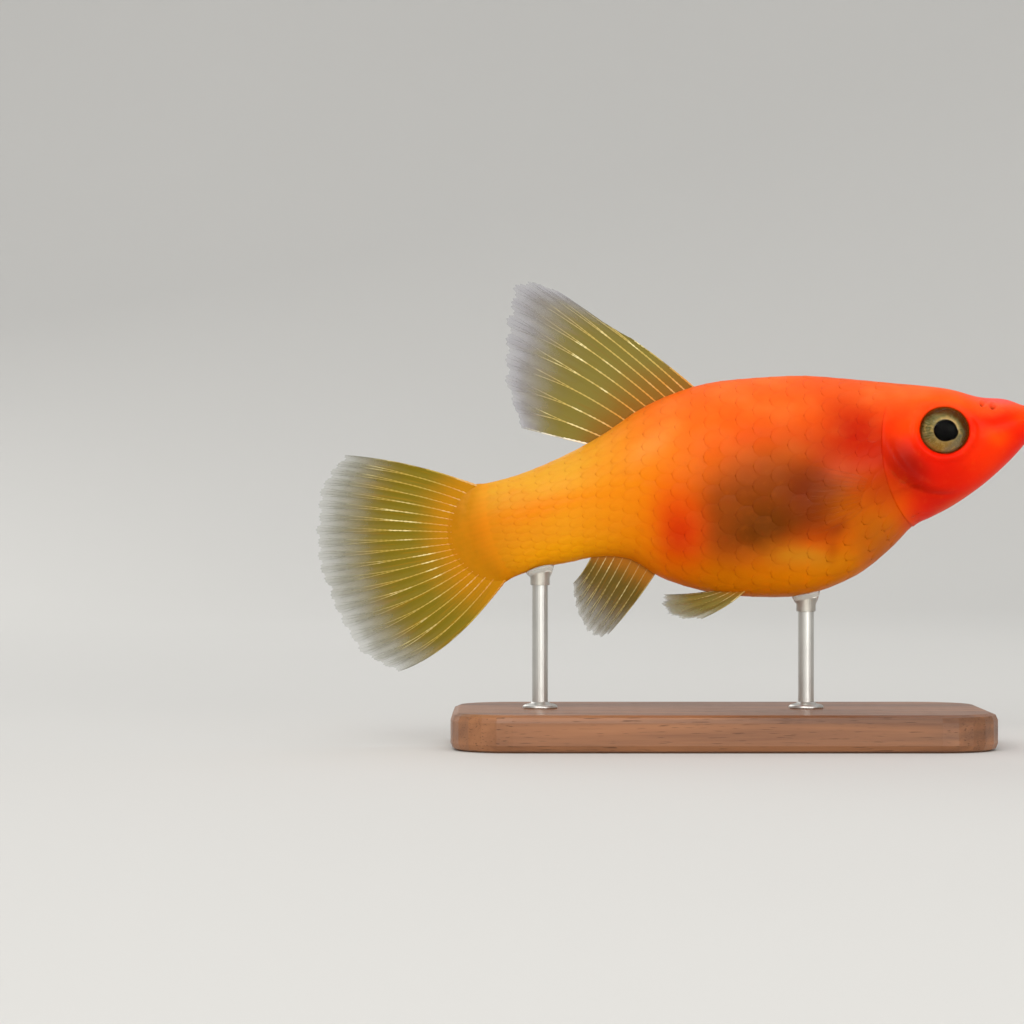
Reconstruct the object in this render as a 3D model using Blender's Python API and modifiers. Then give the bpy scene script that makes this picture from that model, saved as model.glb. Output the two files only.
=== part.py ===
"""A female hifin platy, a small live-bearing aquarium fish, as a life-size still model on a stand.

The fish faces +X, its left side is +Y and +Z is up. The origin is the middle of the base's underside.
Named sizes are in millimetres and are turned into metres where a mesh is made.
"""

import math

import bmesh
import bpy
import numpy as np

MM = 0.001
GAP = 0.3  # clearance that touching pieces keep
SHARP = math.radians(50)  # edges that turn by more than this stay sharp

# Body: where each station's cross-section meets the back and the belly, and its half width.
# name: (back x, back z, belly x, belly z, half width)
STATIONS = {
    "snout tip": (26.73, 27.31, 26.73, 27.14, 0.0),
    "lips": (25.99, 27.68, 26.36, 26.49, 1.25),
    "chin": (24.76, 27.92, 25.42, 25.17, 1.95),
    "nostrils": (23.29, 28.40, 23.86, 23.37, 2.50),
    "fore eye": (21.16, 28.58, 21.65, 21.36, 2.95),
    "eye": (18.70, 29.19, 19.27, 19.68, 3.30),
    "cheek": (16.40, 29.52, 17.38, 18.66, 3.75),
    "gill cover": (14.51, 29.68, 15.83, 17.92, 4.15),
    "shoulder": (12.63, 29.86, 13.78, 15.87, 4.50),
    "breast": (10.25, 30.08, 10.99, 13.78, 4.85),
    "belly": (6.81, 30.32, 7.05, 12.30, 5.15),
    "abdomen": (3.03, 30.16, 2.95, 12.10, 5.10),
    "vent": (-0.66, 29.77, -0.98, 12.51, 4.70),
    "dorsal fin": (-3.61, 28.95, -4.67, 13.61, 4.05),
    "anal fin": (-6.56, 27.59, -7.38, 15.17, 3.45),
    "hind back": (-9.84, 25.38, -10.00, 15.38, 2.85),
    "tail": (-13.12, 23.62, -12.30, 14.94, 2.40),
    "tail stalk": (-16.40, 22.26, -14.76, 14.46, 2.00),
    "stalk end": (-18.86, 21.58, -16.73, 13.78, 1.50),
    "tail root": (-20.83, 21.40, -18.29, 12.87, 0.60),
}
STATION = {name: number for number, name in enumerate(STATIONS)}
# How far each section bows back towards the tail at mid depth: round the gill cover and the tail root.
BOW = {"fore eye": 0.0, "eye": 0.2, "cheek": 1.3, "gill cover": 2.3, "shoulder": 1.7, "breast": 0.8,
       "belly": 0.1, "tail": 0.0, "tail stalk": 0.15, "stalk end": 1.0, "tail root": 2.9}
# Share of the depth, from the back down, at which a section is widest.
WIDEST = {"snout tip": 0.50, "nostrils": 0.45, "eye": 0.45, "gill cover": 0.52, "breast": 0.58,
          "abdomen": 0.62, "dorsal fin": 0.54, "anal fin": 0.50}
# How pinched a section is towards the back and the belly: under 1 is flat there, over 1 is keeled.
CROWN = {"snout tip": 0.90, "nostrils": 0.80, "eye": 0.75, "gill cover": 0.95, "abdomen": 1.05,
         "dorsal fin": 1.15, "tail stalk": 1.10, "tail root": 0.70}
KEEL = {"snout tip": 0.85, "eye": 0.95, "gill cover": 1.05, "belly": 0.85, "vent": 0.95,
        "anal fin": 1.10, "tail stalk": 1.10, "tail root": 0.70}
BOW_POWER = 0.75  # roundness of a bowed section seen from the side

# Where the body is parted into head, trunk and tail, and how finely each is drawn.
ROUND = 40  # faces round the body
SKIN_SAMPLES = (700, 240)  # points along and round that the nearest one is looked for among
HEAD_ROWS, TRUNK_ROWS, TAIL_ROWS = 36, 26, 14
SNOUT_CROWDING = 1.35  # over 1 sets the head's rows closer together towards the snout
TAIL_CUT = STATION["hind back"] + 0.35
GILL_GAP, TAIL_GAP = GAP / 1.25, GAP / 2.3  # the clearance in stations, which lie that many mm apart there
GILL_STEP = 0.3  # how proud the gill cover's hind edge stands
GILL_RUN = 1.1  # stations over which it rises
CHEEK_CREST = 0.18  # height of the curved crest between the cheek and the gill cover
CHEEK_CREST_RADIUS = 4.9  # its distance behind and below the eye's middle
CHEEK_CREST_WIDTH = 0.5

# Eyes: flattened balls set in sockets.
EYE_X, EYE_Z = 18.45, 25.79
EYE_RADIUS = 2.05
EYE_DEPTH = 1.45  # half thickness across the head
EYE_OUT = 2.55  # distance of the eye's middle from the mid plane
ORBIT_RIM, ORBIT_RIM_OUT, ORBIT_RIM_WIDTH = 0.14, 0.55, 0.4  # height of the skin's rim, place and width
EYE_FACES, SOCKET_FACES = (24, 14), (28, 14)  # faces round a ball and rings of them

# Mouth: a slit from its corner forward and up past the tip of the snout.
MOUTH_CORNER = (24.95, 26.2)
MOUTH_SLOPE = math.radians(31.0)
MOUTH_SLIT = 0.28
MOUTH_REACH = 4.0  # the slit's cutter is this long and twice as wide
LIP = 0.2  # how far the lips roll out on each side of the slit
LIP_WIDTH = 0.4
NOSTRILS = ((22.1, 27.7, 0.3), (21.2, 27.9, 0.25))  # x, z and radius of each pit on a side
NOSTRIL_FACES = (10, 6)

# Fins: a web stiffened by rays, which are ridges in both of its faces.
RAY, RAY_END = 1.0, 0.6  # thickness through a ray at its root and its tip
PAIRED_RAY, PAIRED_RAY_END = 0.8, 0.5  # the same in the pelvic and pectoral fins
WEB, EDGE = 0.5, 0.3  # thickness of the web, and of its free edge
EDGE_START = 0.75  # share of a ray's length at which the web starts to thin out
EDGE_SAMPLES = 100  # points that a fin's line of roots is worked out at
NOTCH = 0.35  # how far the web's edge is drawn in between the ray tips

# The number of rays and of rows of points along each.
DORSAL_GRID, CAUDAL_GRID, ANAL_GRID, PELVIC_GRID, PECTORAL_GRID = (11, 8), (16, 9), (9, 7), (5, 6), (9, 7)
# Where the ray tips lie, from the first ray to the last: x, z.
DORSAL_TIPS = ((-13.4, 37.4), (-14.7, 37.95), (-16.0, 38.0), (-16.9, 37.2), (-17.2, 35.9), (-17.35, 34.5),
               (-17.5, 32.9), (-17.5, 31.2), (-17.35, 29.5), (-17.1, 27.7), (-16.4, 25.9))
CAUDAL_TIPS = ((-31.0, 23.8), (-32.5, 21.9), (-33.1, 19.3), (-33.2, 16.4), (-32.7, 13.5), (-31.4, 10.5),
               (-29.3, 7.4), (-26.4, 6.0))
ANAL_TIPS = ((-9.3, 8.9), (-10.2, 8.7), (-11.0, 9.4), (-11.6, 10.4), (-12.0, 11.7), (-12.1, 13.2))
DORSAL_BASE = (STATION["dorsal fin"] - 0.42, STATION["hind back"] + 0.22)
DORSAL_BOW = (0.45, 0.0, 0.81)  # how far the middle of the longest rays bows forward and up
DORSAL_LEAN = 1.1  # how far the top of the dorsal fin leans to the left
CAUDAL_BOW = (0.9, -2.5)  # how far the first and the last ray's middle bows up
CAUDAL_CLEAR = 0.38  # the tail fin's corners come nearer to the tail than its roots do
CAUDAL_TWIST = 0.6  # how far the corners of the tail fin curl, the upper one to the left
CAUDAL_TWIST_RUN = 12.0  # length over which the curl grows
CAUDAL_HALF_HEIGHT = 8.0
ANAL_BASE = (STATION["hind back"] + 0.12, STATION["dorsal fin"] + 0.24)
ANAL_BOW = (0.2, 0.0, -0.25)
ANAL_LEAN = 0.35
# The paired fins, on the left side: points beside the body where the first and last rays root, and the tips.
PELVIC_ROOTS = ((2.1, 2.2, 11.8), (0.3, 1.0, 11.8))
PELVIC_TIPS = ((-1.95, 3.9, 10.35), (-3.4, 3.75, 10.4), (-4.4, 3.3, 10.8), (-4.9, 2.65, 11.5),
               (-4.6, 1.9, 12.3))
PELVIC_BOW = (0.4, 0.15, -0.3)
PECTORAL_ROOTS = ((12.0, 5.0, 21.6), (11.7, 5.0, 19.4))
PECTORAL_TIPS = ((5.9, 7.2, 22.9), (4.6, 7.6, 21.7), (4.1, 7.7, 20.1), (4.4, 7.6, 18.4), (5.8, 7.2, 16.9))
PECTORAL_BOW = (1.9, 0.9, 0.0)
ROOT_CLEAR = 0.65  # distance of a paired fin's root from the body, as it leaves at a slant

# Stand: a flat base with two pins that reach up to the belly and the tail.
BASE_LENGTH, BASE_WIDTH, BASE_HEIGHT = 44.0, 22.0, 3.0
BASE_CORNER = 5.0
CORNER_STEPS = 6
BASE_BEVEL = 0.6
PIN_RADIUS = 0.65
PIN_SINK = 1.5  # depth of the pin's hole in the base
PIN_SIDES = 24
PINS = {"stand_pin_front": "belly", "stand_pin_rear": "tail stalk"}


def start_scene():
    """Clears the scene and makes the collections of the parts and of the cutters."""
    for old in list(bpy.data.objects):
        bpy.data.objects.remove(old)
    made = {}
    for name in ("hifin_platy", "cutters"):
        made[name] = bpy.data.collections.new(name)
        bpy.context.scene.collection.children.link(made[name])
    return made["hifin_platy"], made["cutters"]


def paint(name, colour, roughness, metallic=0.0):
    """A plain material of one colour, roughness and metallic value."""
    material = bpy.data.materials.new(name)
    material.use_nodes = True
    shader = material.node_tree.nodes["Principled BSDF"]
    shader.inputs["Base Color"].default_value = (*colour, 1.0)
    shader.inputs["Roughness"].default_value = roughness
    shader.inputs["Metallic"].default_value = metallic
    return material


def smooth_through(rows, at):
    """A Catmull-Rom curve through evenly numbered rows, read at the numbers in at."""
    rows = np.asarray(rows, float)
    at = np.clip(np.asarray(at, float), 0, len(rows) - 1)
    first = np.minimum(at.astype(int), len(rows) - 2)
    t = (at - first)[..., None]
    padded = np.concatenate([2 * rows[:1] - rows[1:2], rows, 2 * rows[-1:] - rows[-2:-1]])
    a, b, c, d = (padded[first + k] for k in range(4))
    return b + 0.5 * t * (c - a + t * (2 * a - 5 * b + 4 * c - d + t * (3 * (b - c) + d - a)))


def knots(values, at):
    """Values given at some stations, joined by straight runs, read at the station numbers in at."""
    return np.interp(at, [STATION[name] for name in values], list(values.values()))


def station_rows(at):
    """The station table's smooth curve. Before the snout tip it is mirrored, which rounds the snout."""
    rows = np.array(list(STATIONS.values()))
    back_x, back_z, belly_x, belly_z, half_width = rows[1]
    mirrored = (belly_x, belly_z, back_x, back_z, -half_width)
    return smooth_through(np.vstack([mirrored, rows]), np.asarray(at, float) + 1)


def body_points(at, turn):
    """Points of the body at station numbers at, and turn round it: 0 back, 0.25 left, 0.5 belly, 0.75 right.

    Along a section's chord, from back to belly, a point lies at a share that follows the cosine of its
    angle, and out to the side by the half width times the sine raised to the crown or the keel."""
    row = station_rows(at)
    back = np.stack([row[..., 0], row[..., 1]], -1)
    belly = np.stack([row[..., 2], row[..., 3]], -1)
    rise, side = np.cos(2 * math.pi * turn), np.sin(2 * math.pi * turn)
    widest = knots(WIDEST, at)
    share = np.where(rise > 0, widest * (1 - rise), widest - (1 - widest) * rise)
    pinch = np.where(rise > 0, knots(CROWN, at), knots(KEEL, at))
    chord = belly - back
    length = np.maximum(np.linalg.norm(chord, axis=-1, keepdims=True), 1e-6)
    tailward = np.stack([chord[..., 1], -chord[..., 0]], -1) / length
    arc = np.clip(1 - (2 * share - 1) ** 2, 0, 1) ** BOW_POWER
    spot = back + chord * share[..., None] + tailward * (knots(BOW, at) * arc)[..., None]
    out = row[..., 4] * np.sign(side) * np.abs(side) ** pinch
    return np.stack([spot[..., 0], out, spot[..., 1]], -1)


def outward(points):
    """Unit normals of a grid whose second direction closes on itself."""
    along = np.gradient(points, axis=0)
    wrapped = np.concatenate([points[:, -1:], points, points[:, :1]], axis=1)
    across = (wrapped[:, 2:] - wrapped[:, :-2]) / 2
    normal = np.cross(across, along)
    return normal / np.maximum(np.linalg.norm(normal, axis=-1, keepdims=True), 1e-9)


def mesh_object(name, points, faces, material, collection):
    """An object from points in millimetres, with its faces turned outwards."""
    mesh = bpy.data.meshes.new(name)
    mesh.from_pydata((np.asarray(points) * MM).tolist(), [], faces)
    shell = bmesh.new()
    shell.from_mesh(mesh)
    bmesh.ops.recalc_face_normals(shell, faces=shell.faces)
    shell.to_mesh(mesh)
    shell.free()
    mesh.shade_smooth()
    mesh.set_sharp_from_angle(angle=SHARP)
    if material:
        mesh.materials.append(material)
    thing = bpy.data.objects.new(name, mesh)
    collection.objects.link(thing)
    return thing


def end_cap(ring):
    """Faces that close a ring, straight across from its left side to its right, top to bottom."""
    half = len(ring) // 2
    faces = [(ring[0], ring[1], ring[-1]), (ring[half - 1], ring[half], ring[half + 1])]
    return faces + [(ring[k], ring[k + 1], ring[-k - 1], ring[-k]) for k in range(1, half - 1)]


def lofted(name, stations, relief, material, collection):
    """A length of the body through the stations, raised along its normals by relief(grid, at, turn)."""
    turns = np.arange(ROUND) / ROUND
    at, turn = np.meshgrid(stations, turns, indexing="ij")
    grid = body_points(at, turn)
    grid = grid + outward(grid) * relief(grid, at, turn)[..., None]
    starts_at_tip = stations[0] == 0
    points = grid.reshape(-1, 3)
    index = np.arange(len(points)).reshape(len(stations), ROUND)
    faces = []
    if starts_at_tip:
        points = np.concatenate([body_points(np.zeros(1), np.zeros(1)), points[ROUND:]])
        index = np.maximum(index - ROUND + 1, 0)
        faces += [(0, index[1, k], index[1, (k + 1) % ROUND]) for k in range(ROUND)]
    else:
        faces += end_cap(index[0].tolist())
    for row in range(1 if starts_at_tip else 0, len(stations) - 1):
        for k in range(ROUND):
            n = (k + 1) % ROUND
            faces.append((index[row, k], index[row, n], index[row + 1, n], index[row + 1, k]))
    faces += end_cap(index[-1].tolist())
    faces = [tuple(int(corner) for corner in face) for face in faces]
    return mesh_object(name, points, faces, material, collection)


def smooth_body(grid, at, turn):
    """No relief."""
    return np.zeros_like(at)


def bump(distance, width):
    """A rounded ridge: 1 where distance is 0, falling away over width."""
    return np.exp(-(distance / width) ** 2)


def ramp(value, low, high):
    """Rises smoothly from 0 at low to 1 at high."""
    t = np.clip((value - low) / (high - low), 0, 1)
    return t * t * (3 - 2 * t)


def head_relief(grid, at, turn):
    """The gill cover's edge, the crest on the cheek, the rim of the orbit and the lips."""
    x, z = grid[..., 0], grid[..., 2]
    sides = ramp(1 - np.cos(2 * math.pi * turn), 0.25, 1.0)
    gill_cover = GILL_STEP * np.clip((at - STATION["gill cover"]) / GILL_RUN + 1, 0, 1) ** 2 * sides
    from_eye = np.hypot(x - EYE_X, z - EYE_Z)
    behind = ramp(EYE_X - x + 0.6 * (EYE_Z - z), 1.0, 3.5)
    below = ramp(EYE_Z + 2.5 - z, 0, 2)
    crest = CHEEK_CREST * bump(from_eye - CHEEK_CREST_RADIUS, CHEEK_CREST_WIDTH) * behind * below
    rim = ORBIT_RIM * bump(from_eye - EYE_RADIUS - ORBIT_RIM_OUT, ORBIT_RIM_WIDTH)
    forward, rise = x - MOUTH_CORNER[0], z - MOUTH_CORNER[1]
    along = forward * math.cos(MOUTH_SLOPE) + rise * math.sin(MOUTH_SLOPE)
    off = rise * math.cos(MOUTH_SLOPE) - forward * math.sin(MOUTH_SLOPE)
    lips = LIP * bump(np.abs(off) - LIP_WIDTH, 0.7 * LIP_WIDTH) * ramp(along, -0.5, 0.5)
    return gill_cover + crest + rim + lips


def cut_away(thing, cutters, collection):
    """Takes each cutter's space from thing."""
    for cutter in cutters:
        for other in list(cutter.users_collection):
            other.objects.unlink(cutter)
        collection.objects.link(cutter)
        cutter.hide_render = True
        cutter.display_type = "WIRE"
        cut = thing.modifiers.new(cutter.name, "BOOLEAN")
        cut.operation = "DIFFERENCE"
        cut.object = cutter


def ball(name, centre, radii, faces, material, collection):
    """A ball stretched to three radii, with its poles to the left and right."""
    bpy.ops.mesh.primitive_uv_sphere_add(segments=faces[0], ring_count=faces[1], radius=1)
    thing = bpy.context.object
    thing.name = thing.data.name = name
    radius_x, radius_y, radius_z = radii
    for vertex in thing.data.vertices:
        x, y, z = vertex.co
        vertex.co = (x * radius_x * MM, z * radius_y * MM, -y * radius_z * MM)
    thing.data.shade_smooth()
    thing.location = [value * MM for value in centre]
    if material:
        thing.data.materials.append(material)
    for other in list(thing.users_collection):
        other.objects.unlink(thing)
    collection.objects.link(thing)
    return thing


def skin_near(place, axes=(0, 1, 2)):
    """The point of the body's left side nearest to a place, measured along the given axes, and its normal."""
    stations = np.linspace(STATION["lips"], STATION["tail root"], SKIN_SAMPLES[0])
    at, turn = np.meshgrid(stations, np.arange(SKIN_SAMPLES[1]) / SKIN_SAMPLES[1], indexing="ij")
    skin = body_points(at, turn)
    normal = outward(skin)
    away = sum((skin[..., axis] - place[axis]) ** 2 for axis in axes) + 1e6 * (skin[..., 1] < 0)
    nearest = np.unravel_index(np.argmin(away), away.shape)
    return skin[nearest], normal[nearest]


def make_head(skin, parts, cutters):
    """The head back to the gill cover's edge, with eye sockets, nostril pits and the mouth's slit."""
    stations = np.linspace(0, 1, HEAD_ROWS) ** SNOUT_CROWDING * (STATION["gill cover"] - GILL_GAP / 2)
    head = lofted("head", stations, head_relief, skin, parts)
    hollow = []
    for side, sign in (("left", 1), ("right", -1)):
        radii = [EYE_RADIUS + GAP, EYE_DEPTH + GAP, EYE_RADIUS + GAP]
        centre = (EYE_X, sign * EYE_OUT, EYE_Z)
        hollow.append(ball(f"socket_{side}", centre, radii, SOCKET_FACES, None, cutters))
        for number, (x, z, radius) in enumerate(NOSTRILS):
            surface, _ = skin_near((x, 0, z), axes=(0, 2))
            centre = (x, sign * surface[1], z)
            name = f"nostril_{side}_{number}"
            hollow.append(ball(name, centre, [radius] * 3, NOSTRIL_FACES, None, cutters))
    bpy.ops.mesh.primitive_cube_add(size=1)
    slit = bpy.context.object
    slit.name = "mouth_slit"
    for vertex in slit.data.vertices:
        x, y, z = vertex.co
        vertex.co = ((x + 0.5) * MOUTH_REACH * MM, y * 2 * MOUTH_REACH * MM, z * MOUTH_SLIT * MM)
    slit.location = (MOUTH_CORNER[0] * MM, 0, MOUTH_CORNER[1] * MM)
    slit.rotation_euler = (0, -MOUTH_SLOPE, 0)
    hollow.append(slit)
    cut_away(head, hollow, cutters)


def make_trunk_and_tail(skin, parts):
    """The trunk from the gill opening to behind the dorsal fin, and the tail down to its root."""
    trunk = np.linspace(STATION["gill cover"] + GILL_GAP / 2, TAIL_CUT - TAIL_GAP / 2, TRUNK_ROWS)
    tail = np.linspace(TAIL_CUT + TAIL_GAP / 2, STATION["tail root"], TAIL_ROWS)
    lofted("trunk", trunk, smooth_body, skin, parts)
    lofted("tail", tail, smooth_body, skin, parts)


def along_points(points):
    """A smooth curve through points, as a function of the share of the way along them."""
    return lambda share: smooth_through(points, share * (len(points) - 1))


def in_plane(pairs):
    """Points of the mid plane from x and z."""
    return np.insert(np.asarray(pairs, float), 1, 0, axis=-1)


def beside(edge, clear=GAP):
    """A curve of the mid plane, a function of the share, moved clear of the body on its right."""
    points = edge(np.linspace(0, 1, EDGE_SAMPLES))
    step = np.gradient(points, axis=0)
    away = np.stack([step[:, 2], 0 * step[:, 0], -step[:, 0]], -1)
    return along_points(points + away / np.linalg.norm(away, axis=-1, keepdims=True) * clear)


def fin(name, roots, tips, bow, lean, grid, ray, collection, material):
    """A fan of rays in a web, as a sheet of triangles that Solidify thickens most along the rays.

    roots and tips give a ray's two ends for its share of the way from the first ray to the last.
    In between it follows a parabola whose middle is pushed out by bow, also a function of the share.
    A column of web runs midway between two rays, and ends short of the shorter one's tip.
    lean gives how far the fin leans to the left at x, z. grid holds the number of rays and of rows of
    points along each, and ray a ray's thickness at root and tip."""
    rays, rows = grid
    share = np.linspace(0, 1, rays)
    root, tip = roots(share), tips(share)
    middle = (root + tip) / 2 + bow(share)
    length = np.linalg.norm(tip - root, axis=1)
    t = np.linspace(0, 1, rows)[:, None]

    def at(chosen, part):
        """Points of the chosen rays at parts of their length."""
        part = part[..., None]
        rest = 1 - part
        return rest ** 2 * root[chosen] + 2 * part * rest * middle[chosen] + part ** 2 * tip[chosen]

    before, after = slice(0, -1), slice(1, None)
    reach = np.minimum(length[before], length[after]) - NOTCH
    web = np.empty((rows, 2 * rays - 1, 3))
    web[:, ::2] = at(slice(None), np.repeat(t, rays, axis=1))
    web[:, 1::2] = (at(before, t * reach / length[before]) + at(after, t * reach / length[after])) / 2
    web[..., 1] += lean(web[..., 0], web[..., 2])
    columns = 2 * rays - 1
    is_ray = np.arange(columns) % 2 == 0
    thickness = np.where(is_ray, ray[0] + (ray[1] - ray[0]) * t, WEB + (EDGE - WEB) * ramp(t, EDGE_START, 1))
    index = np.arange(rows * columns).reshape(rows, columns)
    corners = [index[:-1, :-1], index[:-1, 1:], index[1:, 1:], index[1:, :-1]]
    a, b, c, d = (corner.ravel() for corner in corners)
    flat = web.reshape(-1, 3)
    short = (np.linalg.norm(flat[a] - flat[c], axis=1) < np.linalg.norm(flat[b] - flat[d], axis=1))[:, None]
    faces = np.concatenate([np.where(short, np.stack([a, b, c], 1), np.stack([a, b, d], 1)),
                            np.where(short, np.stack([a, c, d], 1), np.stack([b, c, d], 1))])
    mesh = bpy.data.meshes.new(name)
    mesh.from_pydata((flat * MM).tolist(), [], faces.tolist())
    mesh.materials.append(material)
    sheet = bpy.data.objects.new(name, mesh)
    collection.objects.link(sheet)
    group = sheet.vertex_groups.new(name="thickness")
    for number, value in enumerate(thickness.ravel() / ray[0]):
        group.add([number], float(value), "REPLACE")
    solid = sheet.modifiers.new("rays and web", "SOLIDIFY")
    solid.thickness = ray[0] * MM
    solid.offset = 0
    solid.vertex_group = group.name
    return sheet


def edge_of_body(turn, first, last):
    """The back (turn 0) or belly (turn 0.5) from one station to another, as a function of the share."""
    return lambda share: body_points(first + (last - first) * share, np.full_like(share, turn))


def make_dorsal_fin(fin_paint, parts):
    """The tall fin that gives the hifin its name, its rays swept back and its top leaning to the left."""
    foot, top = STATIONS["hind back"][1], max(z for x, z in DORSAL_TIPS)
    fin("dorsal_fin", beside(edge_of_body(0, *DORSAL_BASE)), along_points(in_plane(DORSAL_TIPS)),
        lambda share: np.sin(math.pi * share)[:, None] * np.array(DORSAL_BOW),
        lambda x, z: DORSAL_LEAN * np.clip((z - foot) / (top - foot), 0, 1) ** 2,
        DORSAL_GRID, (RAY, RAY_END), parts, fin_paint)


def make_caudal_fin(fin_paint, parts):
    """The rounded tail fin, fanned out from the bowed end of the tail."""
    def root_edge(share):
        at = np.full_like(share, STATION["tail root"])
        widest = knots(WIDEST, at)
        rise = np.where(share < widest, 1 - share / widest, (widest - share) / (1 - widest))
        edge = body_points(at, np.arccos(np.clip(rise, -1, 1)) / (2 * math.pi))
        edge[:, 1] = 0
        return edge

    def bow(share):
        up = CAUDAL_BOW[0] + (CAUDAL_BOW[1] - CAUDAL_BOW[0]) * share ** 1.5
        return np.stack([0 * share, 0 * share, up], -1)

    def curl(x, z):
        run = np.maximum((start - x) / CAUDAL_TWIST_RUN, 0)
        return CAUDAL_TWIST * run ** 2 * (z - low) / CAUDAL_HALF_HEIGHT

    start, low = STATIONS["tail root"][0], STATIONS["tail root"][3]
    fin("caudal_fin", beside(root_edge, CAUDAL_CLEAR), along_points(in_plane(CAUDAL_TIPS)), bow, curl,
        CAUDAL_GRID, (RAY, RAY_END), parts, fin_paint)


def make_anal_fin(fin_paint, parts):
    """The small fin under the tail."""
    foot, low = STATIONS["anal fin"][3], min(z for x, z in ANAL_TIPS)
    fin("anal_fin", beside(edge_of_body(0.5, *ANAL_BASE)), along_points(in_plane(ANAL_TIPS[::-1])),
        lambda share: np.tile(np.array(ANAL_BOW), (len(share), 1)),
        lambda x, z: ANAL_LEAN * np.clip((foot - z) / (foot - low), 0, 1) ** 2,
        ANAL_GRID, (RAY, RAY_END), parts, fin_paint)


def make_paired_fins(fin_paint, clear_paint, parts):
    """The pelvic fins under the belly and the pectoral fins behind the gill covers."""
    def make_pair(name, places, tips, bow, grid, material):
        anchors = along_points(places)
        for side, sign in (("left", 1), ("right", -1)):
            flip = np.array([1, sign, 1])

            def roots(share):
                found = [skin_near(place) for place in anchors(share)]
                return np.array([skin + normal * ROOT_CLEAR for skin, normal in found]) * flip

            fin(f"{name}_fin_{side}", roots, lambda share: along_points(tips)(share) * flip,
                lambda share: np.tile(np.array(bow) * flip, (len(share), 1)), lambda x, z: 0,
                grid, (PAIRED_RAY, PAIRED_RAY_END), parts, material)

    make_pair("pelvic", PELVIC_ROOTS, PELVIC_TIPS, PELVIC_BOW, PELVIC_GRID, fin_paint)
    make_pair("pectoral", PECTORAL_ROOTS, PECTORAL_TIPS, PECTORAL_BOW, PECTORAL_GRID, clear_paint)


def make_eyes(eye_paint, parts):
    """Both eyes, as flattened balls."""
    for side, sign in (("left", 1), ("right", -1)):
        ball(f"eye_{side}", (EYE_X, sign * EYE_OUT, EYE_Z), [EYE_RADIUS, EYE_DEPTH, EYE_RADIUS],
             EYE_FACES, eye_paint, parts)


def upright(name, x, radius, bottom, top, material, collection):
    """A round bar at x, from the height bottom up to top, a height that its upper face follows over x."""
    bpy.ops.mesh.primitive_cylinder_add(vertices=PIN_SIDES, radius=radius * MM, depth=1, location=(0, 0, 0))
    bar = bpy.context.object
    bar.name = bar.data.name = name
    for vertex in bar.data.vertices:
        place = x + vertex.co.x / MM
        vertex.co.x = place * MM
        vertex.co.z = (bottom if vertex.co.z < 0 else top(place)) * MM
    bar.data.shade_smooth()
    bar.data.set_sharp_from_angle(angle=SHARP)
    if material:
        bar.data.materials.append(material)
    for other in list(bar.users_collection):
        other.objects.unlink(bar)
    collection.objects.link(bar)
    return bar


def belly_height(x):
    """Height of the body's underside in the mid plane at x."""
    line = edge_of_body(0.5, 0, STATION["tail root"])(np.linspace(0, 1, SKIN_SAMPLES[0]))
    order = np.argsort(line[:, 0])
    return float(np.interp(x, line[order, 0], line[order, 2]))


def make_stand(wood, steel, parts, cutters):
    """The base plate with two holes, and the two pins that stand in them."""
    corner = BASE_CORNER * MM
    half_x, half_y = BASE_LENGTH / 2 * MM - corner, BASE_WIDTH / 2 * MM - corner
    rim = []
    for quarter, (side_x, side_y) in enumerate(((1, 1), (-1, 1), (-1, -1), (1, -1))):
        for step in range(CORNER_STEPS + 1):
            angle = math.radians(90 * (quarter + step / CORNER_STEPS))
            x = side_x * half_x + corner * math.cos(angle)
            rim.append((x, side_y * half_y + corner * math.sin(angle), 0))
    plate = bmesh.new()
    face = plate.faces.new([plate.verts.new(point) for point in rim])
    grown = bmesh.ops.extrude_face_region(plate, geom=[face])["geom"]
    upper = [part for part in grown if isinstance(part, bmesh.types.BMVert)]
    bmesh.ops.translate(plate, vec=(0, 0, BASE_HEIGHT * MM), verts=upper)
    bmesh.ops.recalc_face_normals(plate, faces=plate.faces)
    mesh = bpy.data.meshes.new("stand_base")
    plate.to_mesh(mesh)
    plate.free()
    mesh.materials.append(wood)
    base = bpy.data.objects.new("stand_base", mesh)
    parts.objects.link(base)
    bevel = base.modifiers.new("softened edges", "BEVEL")
    bevel.width = BASE_BEVEL * MM
    bevel.segments = 2
    bevel.limit_method = "ANGLE"
    holes = []
    for name, station in PINS.items():
        x = STATIONS[station][2]
        hole_bottom = BASE_HEIGHT - PIN_SINK - GAP
        holes.append(upright(f"hole_{name}", x, PIN_RADIUS + GAP, hole_bottom,
                             lambda place: BASE_HEIGHT + PIN_SINK, None, cutters))
        upright(name, x, PIN_RADIUS, hole_bottom + GAP, lambda place: belly_height(place) - GAP, steel, parts)
    cut_away(base, holes, cutters)


def main():
    parts, cutters = start_scene()
    skin = paint("skin", (0.95, 0.22, 0.02), 0.35)
    web = paint("fin", (0.55, 0.40, 0.12), 0.35)
    clear_web = paint("clear fin", (0.75, 0.70, 0.60), 0.25)
    eye = paint("eye", (0.05, 0.04, 0.03), 0.1)
    wood = paint("walnut", (0.10, 0.05, 0.025), 0.45)
    steel = paint("steel", (0.60, 0.60, 0.58), 0.3, 1.0)
    make_head(skin, parts, cutters)
    make_trunk_and_tail(skin, parts)
    make_eyes(eye, parts)
    make_dorsal_fin(web, parts)
    make_caudal_fin(web, parts)
    make_anal_fin(web, parts)
    make_paired_fins(web, clear_web, parts)
    make_stand(wood, steel, parts, cutters)


main()
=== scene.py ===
"""A female hifin platy as a life-size museum model on a walnut stand.

The fish faces +X, its left side is +Y and +Z is up. Named sizes are in millimetres."""

import math

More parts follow.
